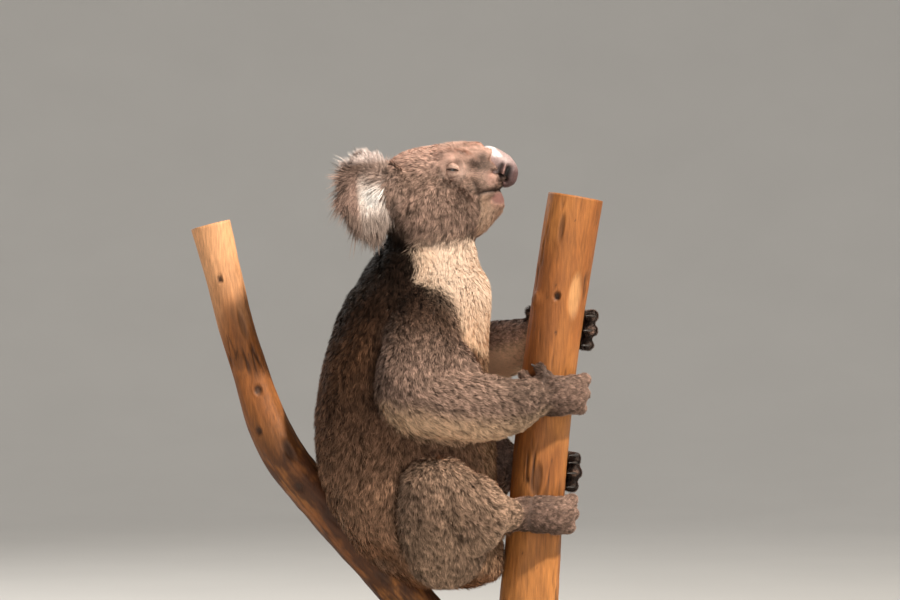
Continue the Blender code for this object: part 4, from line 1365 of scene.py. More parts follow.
def blades(roots, normals, lie, length, depth, width, rng, joints, meet=0.35, wild=0.24, calm=0.0):
    """Strips of mesh. At share t of its length a blade has run t along the lie and risen
    1.3 t^0.7 - 0.3 t^2 of the coat's depth; its half width is full at the middle and 0 at the tip.
    Where the coat is calm the blades take more of their light from the skin's own normal.
    Returns points of shape (blades, corners, 3), triangles and normals."""
    tufts = len(roots)
    across = np.cross(normals, lie)
    apart = np.sqrt(BLADES) * 0.55 * np.sqrt(1 / 0.9) * MM * np.clip(width / 0.0009, 0.6, 1.3)
    offset = rng.normal(0, 1, (2, tufts, BLADES, 1)) * apart[:, None, None]
    base = roots[:, None] + offset[0] * lie[:, None] + offset[1] * across[:, None]
    swing = rng.normal(0, wild, (tufts, BLADES, 1))
    way = unit(lie[:, None] + swing * across[:, None])
    long = length[:, None, None] * rng.uniform(0.68, 1.16, (tufts, BLADES, 1))
    high = depth[:, None, None] * rng.uniform(0.7, 1.15, (tufts, BLADES, 1))
    tip = base + way * long
    pull = (tip.mean(1, keepdims=True) - tip) * meet
    flat_run = np.sqrt(np.maximum(1 - (high / long) ** 2, 0.15))
    t = np.array(joints)[:, None, None, None]
    rise = 1.3 * t**0.7 - 0.3 * t**2
    sunk = 0.0007 * (t == 0)
    spine = base + t * flat_run * long * way + t**1.5 * pull + (rise * high - sunk) * normals[:, None]
    ahead = unit(np.gradient(spine, axis=0))
    twist = rng.normal(0, 0.55, (tufts, BLADES, 1))
    flat = unit(np.cross(ahead, normals[:, None]))
    raised = unit(np.cross(flat, ahead))
    edge = np.cos(twist) * flat + np.sin(twist) * raised
    skin_share = 0.8 + 1.6 * np.reshape(calm, (-1, 1, 1))
    facing = unit(skin_share * normals[:, None] + 0.42 * np.cross(edge, ahead))
    profile = 0.5 * np.interp(np.array(joints), (0, 0.35, 0.7, 1.0), (1.0, 1.0, 0.72, 0.0))
    half = profile[:, None, None, None] * width[:, None, None] * rng.uniform(0.7, 1.25, (tufts, BLADES, 1))
    order = joint_order(joints)
    corners = np.stack([spine[k] + s * half[k] * edge[k] for k, s in order], 2).reshape(tufts * BLADES, -1, 3)
    shading = np.stack([facing[k] for k, _ in order], 2).reshape(corners.shape)
    start = np.arange(len(corners))[:, None, None] * corners.shape[1]
    # Each corner and the two after it make a triangle, turned the other way every second time.
    odd = len(order) % 2
    pattern = [(k, k + 1, k + 2) if (k + odd) % 2 else (k + 1, k, k + 2) for k in range(len(order) - 2)]
    return corners, (start + np.array(pattern)).reshape(-1, 3), shading


def blade_shades(tufts, joints, rng, dark_root=0.2, pale_tip=1.66):
    """Factors on the colour for each corner: darker at the root, paler at the tip, and different from
    tuft to tuft, with about one tuft in seven pale and one in six dark."""
    places = [joints[k] for k, _ in joint_order(joints)]
    ramp = np.interp(places, (0, 0.5, 1.0), (dark_root, 0.88, pale_tip))
    tone = np.exp(rng.normal(0, 0.2, (tufts, 1, 1))) * np.exp(rng.normal(0, 0.12, (tufts, BLADES, 1)))
    kind = rng.uniform(0, 1, (tufts, 1, 1))
    tone = tone * np.where(kind < 0.15, 1.45, np.where(kind > 0.82, 0.5, 1.0))
    return (ramp * tone).reshape(tufts * BLADES, -1)


def coat_object(name, corners, triangles, shading, colours, places):
    """Puts the blades into a mesh, with their normals, colours and the map of their roots."""
    count = corners.shape[1]
    points = corners.reshape(-1, 3)
    mesh = bpy.data.meshes.new(name)
    mesh.vertices.add(len(points))
    mesh.vertices.foreach_set("co", points.astype(np.float32).ravel())
    mesh.loops.add(triangles.size)
    mesh.loops.foreach_set("vertex_index", triangles.astype(np.int32).ravel())
    mesh.polygons.add(len(triangles))
    mesh.polygons.foreach_set("loop_start", (3 * np.arange(len(triangles))).astype(np.int32))
    mesh.update(calc_edges=True)
    patch = PATCH * np.array([(-0.5 + k % 2, -0.5 + k / (count - 1)) for k in range(count)])
    spread = np.repeat(places, BLADES, axis=0)[:, None] + patch
    layer = mesh.uv_layers.new(name="OFBake")
    layer.data.foreach_set("uv", spread.reshape(-1, 2)[triangles.ravel()].astype(np.float32).ravel())
    obj = bpy.data.objects.new(name, mesh)
    bpy.context.scene.collection.objects.link(obj)
    painted(obj, colours.reshape(-1, 3))
    mesh.shade_smooth()
    mesh.normals_split_custom_set_from_vertices(shading.reshape(-1, 3))
    return obj


def clear_of_wood(corners, least=0.0004):
    """Moves corners that would enter the post back out, to the least distance from its surface."""
    flat = corners.reshape(-1, 3)
    gap = post_gap(flat)
    inside = gap < least
    centre = post_axis(flat[:, 2])
    way = np.column_stack([flat[:, 0] - centre, flat[:, 1], 0 * centre])
    flat[inside] += (unit(way) * (least - gap)[:, None])[inside]
    return flat.reshape(corners.shape)

# %% [markdown]
# ## Sharing the coat out into pieces
#
# The whole coat would be too heavy for one mesh, so it is parted by place: the trunk's back, two sides
# and two halves of its front, then crown, face and cheeks, each limb, hands, feet and ears. Each tuft's
# patch on the map lies at its root's place on an unwrap that suits the form: a cylinder round the trunk,
# the muzzle's axis, a limb or the post.

# %% Which piece a tuft belongs to
def around_limb(points, name):
    """Unwrap of a limb: the angle round its path, and the place along it."""
    rows = PATHS[name][:, :3]
    _, place = by_path(points, name)
    index = (place * (len(rows) - 1)).astype(int)
    tangents = unit(np.gradient(rows, axis=0))[index]
    side = unit(np.array((0.0, 1.0, 0.0)) - tangents[:, 1:2] * tangents)
    other = np.cross(tangents, side)
    off = points - rows[index]
    return np.arctan2(dot(off, side)[:, 0], dot(off, other)[:, 0]), place


def unwrap(points, kind):
    """Two coordinates for each root, stretched to fill the map."""
    x, y, z = points.T
    if kind == "trunk":
        flat = np.column_stack([np.arctan2(y, x - 0.01), z])
    elif kind == "head":
        flat = np.column_stack([np.arctan2(y, z - 0.745), x])
    elif kind == "grip":
        flat = np.column_stack([np.arctan2(y, x - post_axis(z)), z])
    else:
        flat = np.column_stack(around_limb(points, kind))
    low, high = flat.min(0), flat.max(0)
    return 0.01 + 0.98 * (flat - low) / np.maximum(high - low, 1e-6)


def piece_of(points, shares):
    """A piece name for each root."""
    best = np.array(PARTS)[shares.argmax(1)]
    names = best.astype("U24")
    angle = np.degrees(np.arctan2(points[:, 1], points[:, 0] - 0.01))
    side = np.where(angle < 0, "right", "left")
    region = np.where(np.abs(angle) > 135, "back", side)
    region = np.where(np.abs(angle) < 60, np.char.add("front_", side), region)
    trunk = best == "trunk"
    names[trunk] = np.char.add("coat_trunk_", region[trunk])
    head = np.isin(best, ("head", "ear_right", "ear_left"))
    face = (points[:, 0] > 0.05) & (points[:, 2] > 0.7)
    behind = np.where(points[:, 2] > 0.755, "coat_crown", "coat_cheeks")
    names[head] = np.where(face, "coat_face", behind)[head]
    for name in LIMBS:
        names[best == name] = "coat_" + name
        names[best == "grip_" + name] = "coat_hands" if name.startswith("arm") else "coat_feet"
    return names


MAP_KINDS = {
    "coat_face": "head", "coat_crown": "head", "coat_cheeks": "head",
    "coat_hands": "grip", "coat_feet": "grip",
}
SHORT = ("coat_face", "coat_hands", "coat_feet")

# %% Finding the roots
rng = np.random.default_rng(20)
skin.data.calc_loop_triangles()
triangles = rows_of(skin.data.loop_triangles, "vertices", np.int32)
# Roots may lie on the skin, and on the outer rows of the lids.
FIRST_FURRED_ROW = 7
numbers = np.arange(len(SKIN_POINTS))
lid_row = (numbers - LID_START) // LID_AROUND % len(LID_ROWS)
grown_over = (numbers < EAR_START) | ((numbers >= LID_START) & (lid_row >= FIRST_FURRED_ROW))
triangles = triangles[grown_over[triangles].all(1)]
part_shares, _ = body_shares(SKIN_POINTS)
_, _, point_dense = coat_measures(SKIN_POINTS, SKIN_NORMALS, part_shares)
chosen, weights = roots_on(SKIN_POINTS, triangles, point_dense[triangles].mean(1) / BLADES, rng)
roots = np.einsum("nk,nkc->nc", weights, SKIN_POINTS[triangles[chosen]])
root_normals = unit(np.einsum("nk,nkc->nc", weights, SKIN_NORMALS[triangles[chosen]]))
grows = ~bare(roots)
roots, root_normals = roots[grows], root_normals[grows]
print("tufts:", len(roots), "blades:", len(roots) * BLADES)

# %% Growing every piece of the coat
shares, extra = body_shares(roots)
lie = lie_of_coat(roots, root_normals, shares, extra)
length, width, _ = coat_measures(roots, root_normals, shares)
depth = coat_depth(roots, shares)
# Locks form where the tips end up, so the noise is read there and not at the root.
tips = roots + 0.75 * length[:, None] * lie
crest, slope = uphill(tips, root_normals, lie, 0.0052, 41)
broad, broad_slope = uphill(roots, root_normals, lie, 0.024, 43)
colours = markings(roots, root_normals, shares)
pale = soft_step(colours @ (0.3, 0.5, 0.2), 0.42, 0.62)
lean = lie + 0.55 * slope * (length / 0.02 * (1 - 0.6 * pale))[:, None] + 0.28 * broad_slope
lie = unit(lean - dot(lean, root_normals) * root_normals)
depth = depth * (1 + (0.32 * crest + 0.15 * broad) * (1 - 0.7 * pale))
pieces = piece_of(roots, shares)
coat = []
for name in sorted(set(pieces)):
    rows = np.flatnonzero(pieces == name)
    joints = (0.0, 1.0) if name in SHORT else (0.0, 0.45, 1.0)
    measures = (part[rows] for part in (roots, root_normals, lie, length, depth, width))
    grown = blades(*measures, rng, joints, calm=pale[rows])
    corners = clear_of_wood(grown[0])
    shade = blade_shades(len(rows), joints, rng)
    # Fine mottling 4 mm across, read at every corner's own place: painted shade as dark hollows between
    # locks and painted light on pale locks.
    speck = noise(corners.reshape(-1, 3), 0.0036, 47).reshape(shade.shape)
    shade = shade * (1 + 0.55 * np.clip(speck * 1.4, -1, 1))
    # White fur shows less of all this.
    shade = shade ** (1 - 0.86 * np.repeat(pale[rows], BLADES)[:, None])
    tones = np.repeat(colours[rows], BLADES, axis=0)[:, None] * shade[..., None]
    tones = tones * np.minimum(1, 0.82 / tones.max(-1, keepdims=True))
    kind = MAP_KINDS.get(name, "trunk" if "trunk" in name else name.removeprefix("coat_"))
    coat.append(coat_object(name, corners, grown[1], grown[2], tones, unwrap(roots[rows], kind)))
    print(name, "triangles:", len(grown[1]))

# %% [markdown]
# ## The long hair of the ears
#
# The ears carry the longest hair on the animal: a fringe of 25 to 45 mm that sprays from the rim and
# hangs from the lower edge, white inside the bowl and grey-brown outside. The roots are set by the ear's
# own coordinates, across and up, and the strands start away from the middle and bend down under their
# weight, so these blades have four joints.

# %% Ear tufts
# Rings of hair: number of tufts, nearest and farthest reach, and sheet (1 front, -1 back).
EAR_BANDS = ((2600, 0.05, 0.8, 1), (2100, 0.66, 1.0, 1), (1300, 0.74, 1.0, -1), (1200, 0.1, 0.8, -1))


def ear_roots(side, count, low, high, sheet, rng):
    """Roots spread evenly over a ring of the bowl between two distances from its middle, on its front
    (sheet 1) or back (sheet -1), with their normals and their place across and up in the ear."""
    middle, out, across, up = ear_frame(side)
    reach = np.sqrt(rng.uniform(low**2, high**2, count))
    turn = rng.uniform(0, 2 * math.pi, count)
    sideways, lift = EAR_WIDE * reach * np.cos(turn), EAR_TALL * reach * np.sin(turn)
    points = middle + ear_bowl(reach, sheet)[:, None] * out + sideways[:, None] * across + lift[:, None] * up
    slope = 0.024 * reach / 0.036
    radial = np.cos(turn)[:, None] * across + np.sin(turn)[:, None] * up
    normals = unit(sheet * (out - slope[:, None] * radial) + (0.9 * reach**6)[:, None] * radial)
    return points, normals, sideways, lift, reach


def ear_colours(sideways, lift, sheet):
    """The ear's pattern at places across and up from its middle: white towards the head, brightest under
    the middle, a brown spot over it, brown streaks in the upper outer part, a pinkish fringe on top, and
    grey-brown outside and on the back."""
    a, u = sideways / MM, lift / MM
    colour = mix((0.62, 0.52, 0.47), (0.31, 0.205, 0.168), soft_step(a, 12, 24))
    colour = mix(colour, (0.36, 0.25, 0.205), 0.85 * soft_step(u, 8, 26))
    colour = mix(colour, (0.34, 0.225, 0.18), 0.75 * bell(np.hypot((a + 8) / 15, (u - 15) / 9), 1.0))
    colour = mix(colour, (0.9, 0.86, 0.83), bell(np.hypot((a + 4) / 13, (u + 10) / 12), 1.0))
    colour = mix(colour, (0.13, 0.082, 0.064), 0.8 * bell(np.hypot((a - 30) / 20, (u - 27) / 13), 1.0))
    colour = mix(colour, (0.84, 0.7, 0.66), 0.9 * soft_step(u + 0.12 * a, 31, 42))
    colour = mix(colour, (0.085, 0.055, 0.044), 0.8 * bell(np.hypot((a - 50) / 14, u / 9), 1.0))
    colour = mix(colour, (0.17, 0.122, 0.1), 0.78 * soft_step(-u, 24, 38))
    return mix(colour, (0.15, 0.105, 0.085), 0.8) if sheet < 0 else colour


def ear_coat(side, rng):
    """Front, back and rim hair of one ear as one piece."""
    middle, out, across, up = ear_frame(side)
    joints = (0.0, 0.3, 0.62, 1.0)
    parts = []
    for count, low, high, sheet in EAR_BANDS:
        points, normals, sideways, lift, reach = ear_roots(side, count, low, high, sheet, rng)
        bottom = soft_step(-lift, 0.004, 0.03)[:, None]
        way = across * ((0.6 + 0.4 * sideways[:, None] / EAR_WIDE) * (1 - 0.62 * bottom))
        way = way + up * (0.95 * lift[:, None] / EAR_TALL - 0.25) + out * 0.12 * sheet
        # Locks: all tufts in a patch of 9 mm lean the same way, and neighbouring patches lean apart.
        swirl = np.column_stack([noise(points, 0.009, 61 + k) for k in range(3)])
        way = unit(way + 0.55 * swirl + 0.1 * rng.normal(0, 1, (count, 3)))
        lie = unit(way - 0.75 * dot(way, normals) * normals)
        length = 0.016 + 0.015 * soft_step(reach, 0.5, 0.95) * (1 - 0.42 * bottom[:, 0])
        length = length * (1 - 0.35 * soft_step(lift, 0.012, 0.034))
        length = length * np.exp(rng.normal(0, 0.2, count) + 0.25 * noise(points, 0.011, 66))
        depth = np.full(count, 0.0056) * (1 - 0.3 * soft_step(reach, 0.8, 1.0))
        width = np.full(count, 0.00058)
        grown = blades(points, normals, lie, length, depth, width, rng, joints, meet=0.62, wild=0.15)
        # The free ends hang: the drop grows as the square of the way along the strand.
        share = np.array([joints[k] for k, _ in joint_order(joints)])
        drop = 0.005 * (length / 0.03)[:, None] * share**2
        corners = grown[0].reshape(count, BLADES, len(share), 3)
        corners[..., 2] -= drop[:, None]
        corners = corners.reshape(-1, len(share), 3)
        flat = corners.reshape(-1, 3) - middle
        tones = ear_colours(flat @ across, flat @ up, sheet).reshape(corners.shape)
        tones = tones * blade_shades(count, joints, rng, 0.58, 1.15)[..., None]
        # On the map the front lies to the left and the back to the right.
        place = 0.25 * np.column_stack([sideways / EAR_WIDE, lift / EAR_TALL])
        place = place + (0.27 if sheet > 0 else 0.73, 0.5)
        parts.append((corners, grown[1], grown[2], tones, place))
    starts = np.cumsum([0] + [part[0].shape[0] * part[0].shape[1] for part in parts[:-1]])
    triangles = np.vstack([part[1] + start for part, start in zip(parts, starts)])
    corners, shading, tones = (np.vstack([part[k] for part in parts]) for k in (0, 2, 3))
    places = np.vstack([part[4] for part in parts])
    return coat_object(f"coat_ear_{SIDE_NAMES[side]}", corners, triangles, shading, tones, places)


for side in (RIGHT, LEFT):
    coat.append(ear_coat(side, rng))
print("coat triangles:", sum(len(piece.data.polygons) for piece in coat))

# %% [markdown]
# ## The materials of the animal
#
# The coat's colour comes from its own attribute, so the material only adds what paint can't: a soft
# sheen at grazing angles, as on any fur, and a dull highlight. The skin has fine pores as a bump, and the
# nose has the pebbles of leather. The eye is wet, with a clear coat.

# %% Animal materials
def new_material(name, roughness, sheen=0.0, specular=0.5, tint=(1.0, 1.0, 1.0)):
    """A Principled material and its shader."""
    material = bpy.data.materials.new(name)
    material.use_nodes = True
    shader = material.node_tree.nodes["Principled BSDF"]
    shader.inputs["Roughness"].default_value = roughness
    shader.inputs["Sheen Weight"].default_value = sheen
    shader.inputs["Specular IOR Level"].default_value = specular
    shader.inputs["Specular Tint"].default_value = (*tint, 1.0)
    return material, shader


def add_node(shader, kind, **values):
    """A node beside the shader, with some inputs set. An underscore stands for a space in their names."""
    node = shader.id_data.nodes.new("ShaderNode" + kind)
    for name, value in values.items():
        node.inputs[name.replace("_", " ")].default_value = value
    return node


def wire(output, socket):
    """Links an output to an input."""
    output.id_data.links.new(output, socket)


def noise_node(shader, scale, detail=3.0, stretch=(1, 1, 1)):
    """Noise on Object coordinates, stretched by a Mapping node, as an output from 0 to 1."""
    mapping = add_node(shader, "Mapping", Scale=stretch)
    texture = add_node(shader, "TexNoise", Scale=scale, Detail=detail)
    wire(add_node(shader, "TexCoord").outputs["Object"], mapping.inputs["Vector"])
    wire(mapping.outputs["Vector"], texture.inputs["Vector"])
    return texture.outputs["Fac"]


def add_bump(shader, height, strength, distance):
    """A bump from a height, in metres of relief."""
    bump = add_node(shader, "Bump", Strength=strength, Distance=distance)
    wire(height, bump.inputs["Height"])
    wire(bump.outputs["Normal"], shader.inputs["Normal"])


def varied(shader, colour, factor, low, high):
    """The colour times a value that runs from low to high as the factor runs from 0.3 to 0.7."""
    spread = add_node(shader, "MapRange", From_Min=0.3, From_Max=0.7, To_Min=low, To_Max=high)
    wire(factor, spread.inputs["Value"])
    product = add_node(shader, "VectorMath")
    product.operation = "SCALE"
    wire(colour, product.inputs[0])
    wire(spread.outputs["Result"], product.inputs["Scale"])
    return product.outputs["Vector"]


def stored_colour(shader):
    """The colours painted on the piece."""
    layer = add_node(shader, "Attribute")
    layer.attribute_name = "colour"
    return layer.outputs["Color"]


def painted_base(shader, factor, low, high):
    """The piece's stored colours, varied by the factor, as its base colour."""
    wire(varied(shader, stored_colour(shader), factor, low, high), shader.inputs["Base Color"])


def two_tone(shader, factor, places, colours):
    """A base colour that runs from the first to the second as the factor passes the two places."""
    ramp = add_node(shader, "ValToRGB")
    for stop, place, colour in zip(ramp.color_ramp.elements, places, colours):
        stop.position = place
        stop.color = (*colour, 1)
    wire(factor, ramp.inputs["Fac"])
    wire(ramp.outputs["Color"], shader.inputs["Base Color"])


def coat_material():
    """Fur: stored colour with fine streaks, rough, with a warm sheen."""
    warm = (1.0, 0.8, 0.62)
    material, shader = new_material("coat", 0.66, sheen=0.03, specular=0.14, tint=warm)
    shader.inputs["Sheen Roughness"].default_value = 0.45
    shader.inputs["Sheen Tint"].default_value = (1.0, 0.9, 0.8, 1.0)
    painted_base(shader, noise_node(shader, 900.0, 2.0), 0.86, 1.14)
    return material


def skin_material():
    """Skin under fur: the same stored colour, with pores and short lying hair as a bump."""
    material, shader = new_material("skin", 0.6, sheen=0.04, specular=0.25)
    pores = noise_node(shader, 700.0, 4.0)
    painted_base(shader, pores, 0.72, 1.2)
    add_bump(shader, pores, 0.6, 0.0008)
    return material


def nose_material():
    """Leather: cells of a Voronoi pattern as pebbles, half gloss."""
    material, shader = new_material("nose leather", 0.5, specular=0.45)
    cells = add_node(shader, "TexVoronoi", Scale=620.0)
    wire(add_node(shader, "TexCoord").outputs["Object"], cells.inputs["Vector"])
    painted_base(shader, cells.outputs["Distance"], 1.08, 0.82)
    add_bump(shader, cells.outputs["Distance"], -0.5, 0.0006)
    return material


def eye_material():
    """A wet eye: stored colours under a clear coat."""
    material, shader = new_material("eye", 0.12, specular=0.5)
    shader.inputs["Coat Weight"].default_value = 0.6
    shader.inputs["Coat Roughness"].default_value = 0.03
    painted_base(shader, noise_node(shader, 1500.0, 3.0), 0.85, 1.15)
    return material


def claw_material():
    """Horn: near black, streaked along the claw, paler at worn places, half gloss."""
    material, shader = new_material("claw horn", 0.33, specular=0.5)
    streaks = noise_node(shader, 260.0, 4.0, (1, 1, 4))
    tones = ((0.01, 0.008, 0.007), (0.06, 0.046, 0.038))
    two_tone(shader, streaks, (0.35, 0.75), tones)
    add_bump(shader, streaks, 0.4, 0.0005)
    return material


# %% Finishing the animal
FLESH = ["head", "neck", "trunk"]
FLESH += [f"{part}_{side}" for side in ("right", "left") for part in (
    "ear", "upper_arm", "forearm", "hand", "thigh", "shin", "foot")]
skin_shares, _ = body_shares(SKIN_POINTS)
skin_colours = markings(SKIN_POINTS, SKIN_NORMALS, skin_shares) * 0.72
skin_colours[EAR_START:LID_START] = (0.3, 0.205, 0.17)
# Lids: a dark wet rim, a pale fold, a darker crease as painted shade, a paler fold above it, partly a painted
# highlight, then the face's own colour.
lid_share = np.tile(np.repeat(LID_ROWS[:, 0], LID_AROUND), 2)
lid = mix((0.018, 0.01, 0.008), (0.3, 0.195, 0.16), soft_step(lid_share, 0.035, 0.075))
lid = mix(lid, (0.24, 0.15, 0.118), soft_step(lid_share, 0.1, 0.17))
lid = mix(lid, (0.42, 0.29, 0.235), soft_step(lid_share, 0.19, 0.26))
lid = mix(lid, skin_colours[LID_START:] * 1.3, soft_step(lid_share, 0.28, 0.4))
skin_colours[LID_START:] = lid
painted(skin, skin_colours)
finished(skin, skin_material(), "grey_coat", *FLESH)
fur = coat_material()
for piece in coat:
    back = "dark_coat" if piece.name == "coat_trunk_back" else "grey_coat"
    finished(piece, fur, "ear_coat" if "ear" in piece.name else back)
eye_wet = eye_material()
for side in (RIGHT, LEFT):
    (points, faces), colours = eyeball(side)
    eye = new_object(f"eyeball_{SIDE_NAMES[side]}", points, faces)
    painted(eye, colours)
    finished(eye, eye_wet, "eye", f"eye_{SIDE_NAMES[side]}")
rings, *marks = nose_surface()
points, faces = closed(rings)
nose = new_object("nose_pad", points, faces)
marks = [np.append(mark, (0.0, 0.0)) for mark in marks]
painted(nose, nose_colours(points, *marks))
finished(nose, nose_material(), "nose_skin", "nose")
horn = claw_material()
for name, spec in LIMBS.items():
    kind = "hand" if name.startswith("arm") else "foot"
    (points, faces), nodes = claws_of(kind, spec["level"], FINGERS if kind == "hand" else TOES, spec["side"])
    finished(new_object(f"claws_{kind}_{SIDE_NAMES[spec['side']]}", points, faces), horn, "claw", *nodes)

# %% [markdown]
# ## The fork of gum wood
#
# The fork is a cut upright with one side branch, stripped of bark: honey brown, with long drying cracks,
# darker stained patches, round knots, and chew and claw scars. Each stem is one grid of places along the
# axis and angles round it. The relief is added to the radius, and colour and relief come from the same
# noise, stretched along the grain, so dark streaks lie in the grooves.

# %% Stems
def grain_noise(place, angle, radius, size, stretch, seed):
    """Noise on a stem's own coordinates, stretched along the grain: along the axis, and round it as a
    circle, so that it closes on itself."""
    points = np.column_stack([
        (place / stretch).ravel(), (radius * np.cos(angle)).ravel(), (radius * np.sin(angle)).ravel(),
    ])
    return rough_noise(points, size, seed).reshape(angle.shape)


def stem_surface(rows, around, marks, seed, weathered_and_shaded=False, ends=14):
    """Rings square to the axis with sawn ends, their relief and their colours.

    rows are x, y, z and radius. Each mark is a place along the axis, an angle, a length and width in
    metres, a depth and a darkness: a soft ellipse pressed in (depth above zero) or raised. A darkness
    below zero stands for a pale scar.
    """
    axis, radii = rows[:, :3], rows[:, 3]
    ways = unit(np.gradient(axis, axis=0))
    side = np.tile((0.0, 1.0, 0.0), (len(axis), 1))
    other = np.cross(side, ways)
    run = np.concatenate([[0], np.cumsum(np.linalg.norm(np.diff(axis, axis=0), axis=1))])
    turn = full_turn(around)
    place, angle = np.meshgrid(run, turn, indexing="ij")
    radius = np.repeat(radii[:, None], around, axis=1)

    def grain(size, stretch, more=0):
        """Noise on this stem."""
        return grain_noise(place, angle, radius, size, stretch, seed + more)

    lobes = 1 + 0.022 * np.sin(2 * angle + 11 * place + seed) + 0.018 * np.sin(3 * angle - 17 * place)
    # Coarse swellings, fibres 2 mm apart, and cracks where a stretched noise crosses zero.
    swell = grain(0.022, 3.0)
    fibre = grain(0.003, 14.0, 3)
    crack = bell(grain(0.012, 11.0, 6), 0.045) * soft_step(grain(0.03, 2.0, 9), 0.05, 0.45)
    relief = 0.0016 * swell + 0.00045 * fibre - 0.0019 * crack
    stain = soft_step(grain(0.026, 2.2, 12), 0.1, 0.55)
    honey = soft_step(grain(0.04, 3.0, 15), -0.35, 0.45)
    colour = mix(WOOD["brown"], WOOD["honey"], honey)
    colour = mix(colour, WOOD["stain"], (0.3 + 0.3 * weathered_and_shaded) * stain)
    blotch = grain(0.0075, 2.2, 30)
    colour = colour * (1 + 0.3 * fibre + 0.16 * blotch)[..., None]
    # Worm holes and specks: the peaks of a fine noise.
    hole = soft_step(grain(0.0042, 1.4, 33), 0.62, 0.72)
    colour = mix(colour, WOOD["crack"], 0.75 * hole)
    if weathered_and_shaded:
        # The branch is paler towards its top, and below the animal dark with old bark and with painted shade
        # and the animal's painted shadow.
        height = np.repeat(axis[:, 2:3], around, axis=1)
        pale = soft_step(height + 0.05 * swell, 0.55, 0.66)
        colour = mix(colour, WOOD["pale_top"] * (1 + 0.2 * fibre)[..., None], 0.85 * pale)
        bark = soft_step(0.455 - height, -0.04, 0.06)
        bark = bark * soft_step(swell + 0.8 * blotch + 0.5 * fibre, -0.75, 0.05)
        colour = mix(colour, WOOD["bark"] * (1 + 0.5 * fibre)[..., None], 0.92 * bark)
        relief = relief + 0.0009 * bark * (0.4 + blotch)
    colour = mix(colour, WOOD["crack"], 0.85 * crack)
    for along, spot, long, wide, deep, dark in marks:
        gap = (angle - math.radians(spot) + math.pi) % (2 * math.pi) - math.pi
        reach = np.hypot((place - along) / long, gap * radius / wide)
        dent = 1 - soft_step(reach, 0.55, 1.15)
        lip = bell(reach - 1.15, 0.22)
        relief = relief - deep * dent + 0.25 * abs(deep) * lip
        colour = mix(colour, WOOD["scar"] if dark < 0 else WOOD["knot"], abs(dark) * dent)
    reach = (radius * lobes + relief)[..., None]
    outline = np.cos(turn)[:, None] * other[:, None] + np.sin(turn)[:, None] * side[:, None]
    rings = axis[:, None] + reach * outline
    # Sawn ends: rings of shrinking size in the end planes, with growth rings in their colour.
    shrink = np.linspace(0.985, 0.04, ends)
    caps, tints = [], []
    for end, order in ((0, shrink[::-1]), (-1, shrink)):
        cap = axis[end] + order[:, None, None] * (rings[end] - axis[end])
        flat = cap.reshape(-1, 3)
        saw = 0.0004 * noise(flat * (1, 3, 1), 0.004, seed + 20).reshape(cap.shape[:2])
        caps.append(cap + saw[..., None] * ways[end])
        wander = 1.3 * noise(flat, 0.012, seed).reshape(cap.shape[:2])
        growth = 0.5 + 0.5 * np.sin(order[:, None] * 46 + wander)
        outer = bell(order[:, None] - 1.0, 0.08)
        tints.append(mix(WOOD["sawn"], WOOD["sawn_dark"], 0.55 * growth + 0.35 * outer))
    rings = np.vstack([caps[0], rings, caps[1]])
    colour = np.vstack([tints[0], colour, tints[1]])
    return closed(rings), np.vstack([colour.reshape(-1, 3), colour[0, :1], colour[-1, :1]])


WOOD = {
    "honey": (0.44, 0.172, 0.044), "brown": (0.25, 0.084, 0.02),
    "stain": (0.12, 0.042, 0.012), "crack": (0.035, 0.014, 0.007),
    "knot": (0.045, 0.018, 0.008), "scar": (0.56, 0.29, 0.12),
    "pale_top": (0.76, 0.39, 0.19), "bark": (0.055, 0.018, 0.006),
    "sawn": (0.56, 0.34, 0.17), "sawn_dark": (0.33, 0.165, 0.07),
}
POST_FOOT, POST_TOP = 0.062, 0.74
# Marks: place along the axis, angle (0 is where the koala faces, 90 its left), length, width, depth and
# darkness.
POST_MARKS = [
    (0.555, -98, 0.006, 0.005, 0.004, 0.95), (0.56, -58, 0.03, 0.01, 0.0022, -0.7),
    (0.548, -150, 0.01, 0.009, -0.003, 0.3), (0.45, -128, 0.007, 0.006, 0.0025, 0.8),
    (0.325, -95, 0.025, 0.007, 0.0015, 0.6), (0.3, -60, 0.008, 0.007, 0.003, 0.85),
    (0.64, -110, 0.02, 0.004, 0.0012, 0.55), (0.12, -80, 0.011, 0.01, -0.0035, 0.4),
    (0.48, 70, 0.013, 0.011, 0.003, 0.8), (0.61, 120, 0.026, 0.008, 0.0018, -0.6),
    (0.23, 20, 0.009, 0.008, 0.003, 0.85), (0.15, 140, 0.02, 0.006, 0.0015, 0.5),
]
BRANCH_MARKS = [
    (0.07, -80, 0.005, 0.0045, 0.0022, 0.85), (0.175, -70, 0.012, 0.009, -0.003, 0.35),
    (0.215, -100, 0.007, 0.006, 0.0028, 0.9), (0.262, -60, 0.006, 0.005, 0.0025, 0.85),
    (0.3, -110, 0.018, 0.006, 0.0015, 0.65), (0.345, -75, 0.008, 0.006, 0.0025, 0.85),
    (0.4, -95, 0.022, 0.008, 0.0018, 0.6), (0.13, -115, 0.02, 0.005, 0.0012, 0.5),
    (0.2, 90, 0.011, 0.009, -0.003, 0.4), (0.33, 110, 0.015, 0.006, 0.002, 0.6),
    (0.5, -85, 0.014, 0.008, 0.0018, 0.6),
]

STEM_RINGS, STEM_AROUND = 250, 150
heights = np.linspace(POST_FOOT, POST_TOP, STEM_RINGS)
post_rows = np.column_stack([post_axis(heights), 0 * heights, heights, post_radius(heights)])
branch_rows = through(BRANCH_PATH, STEM_RINGS)

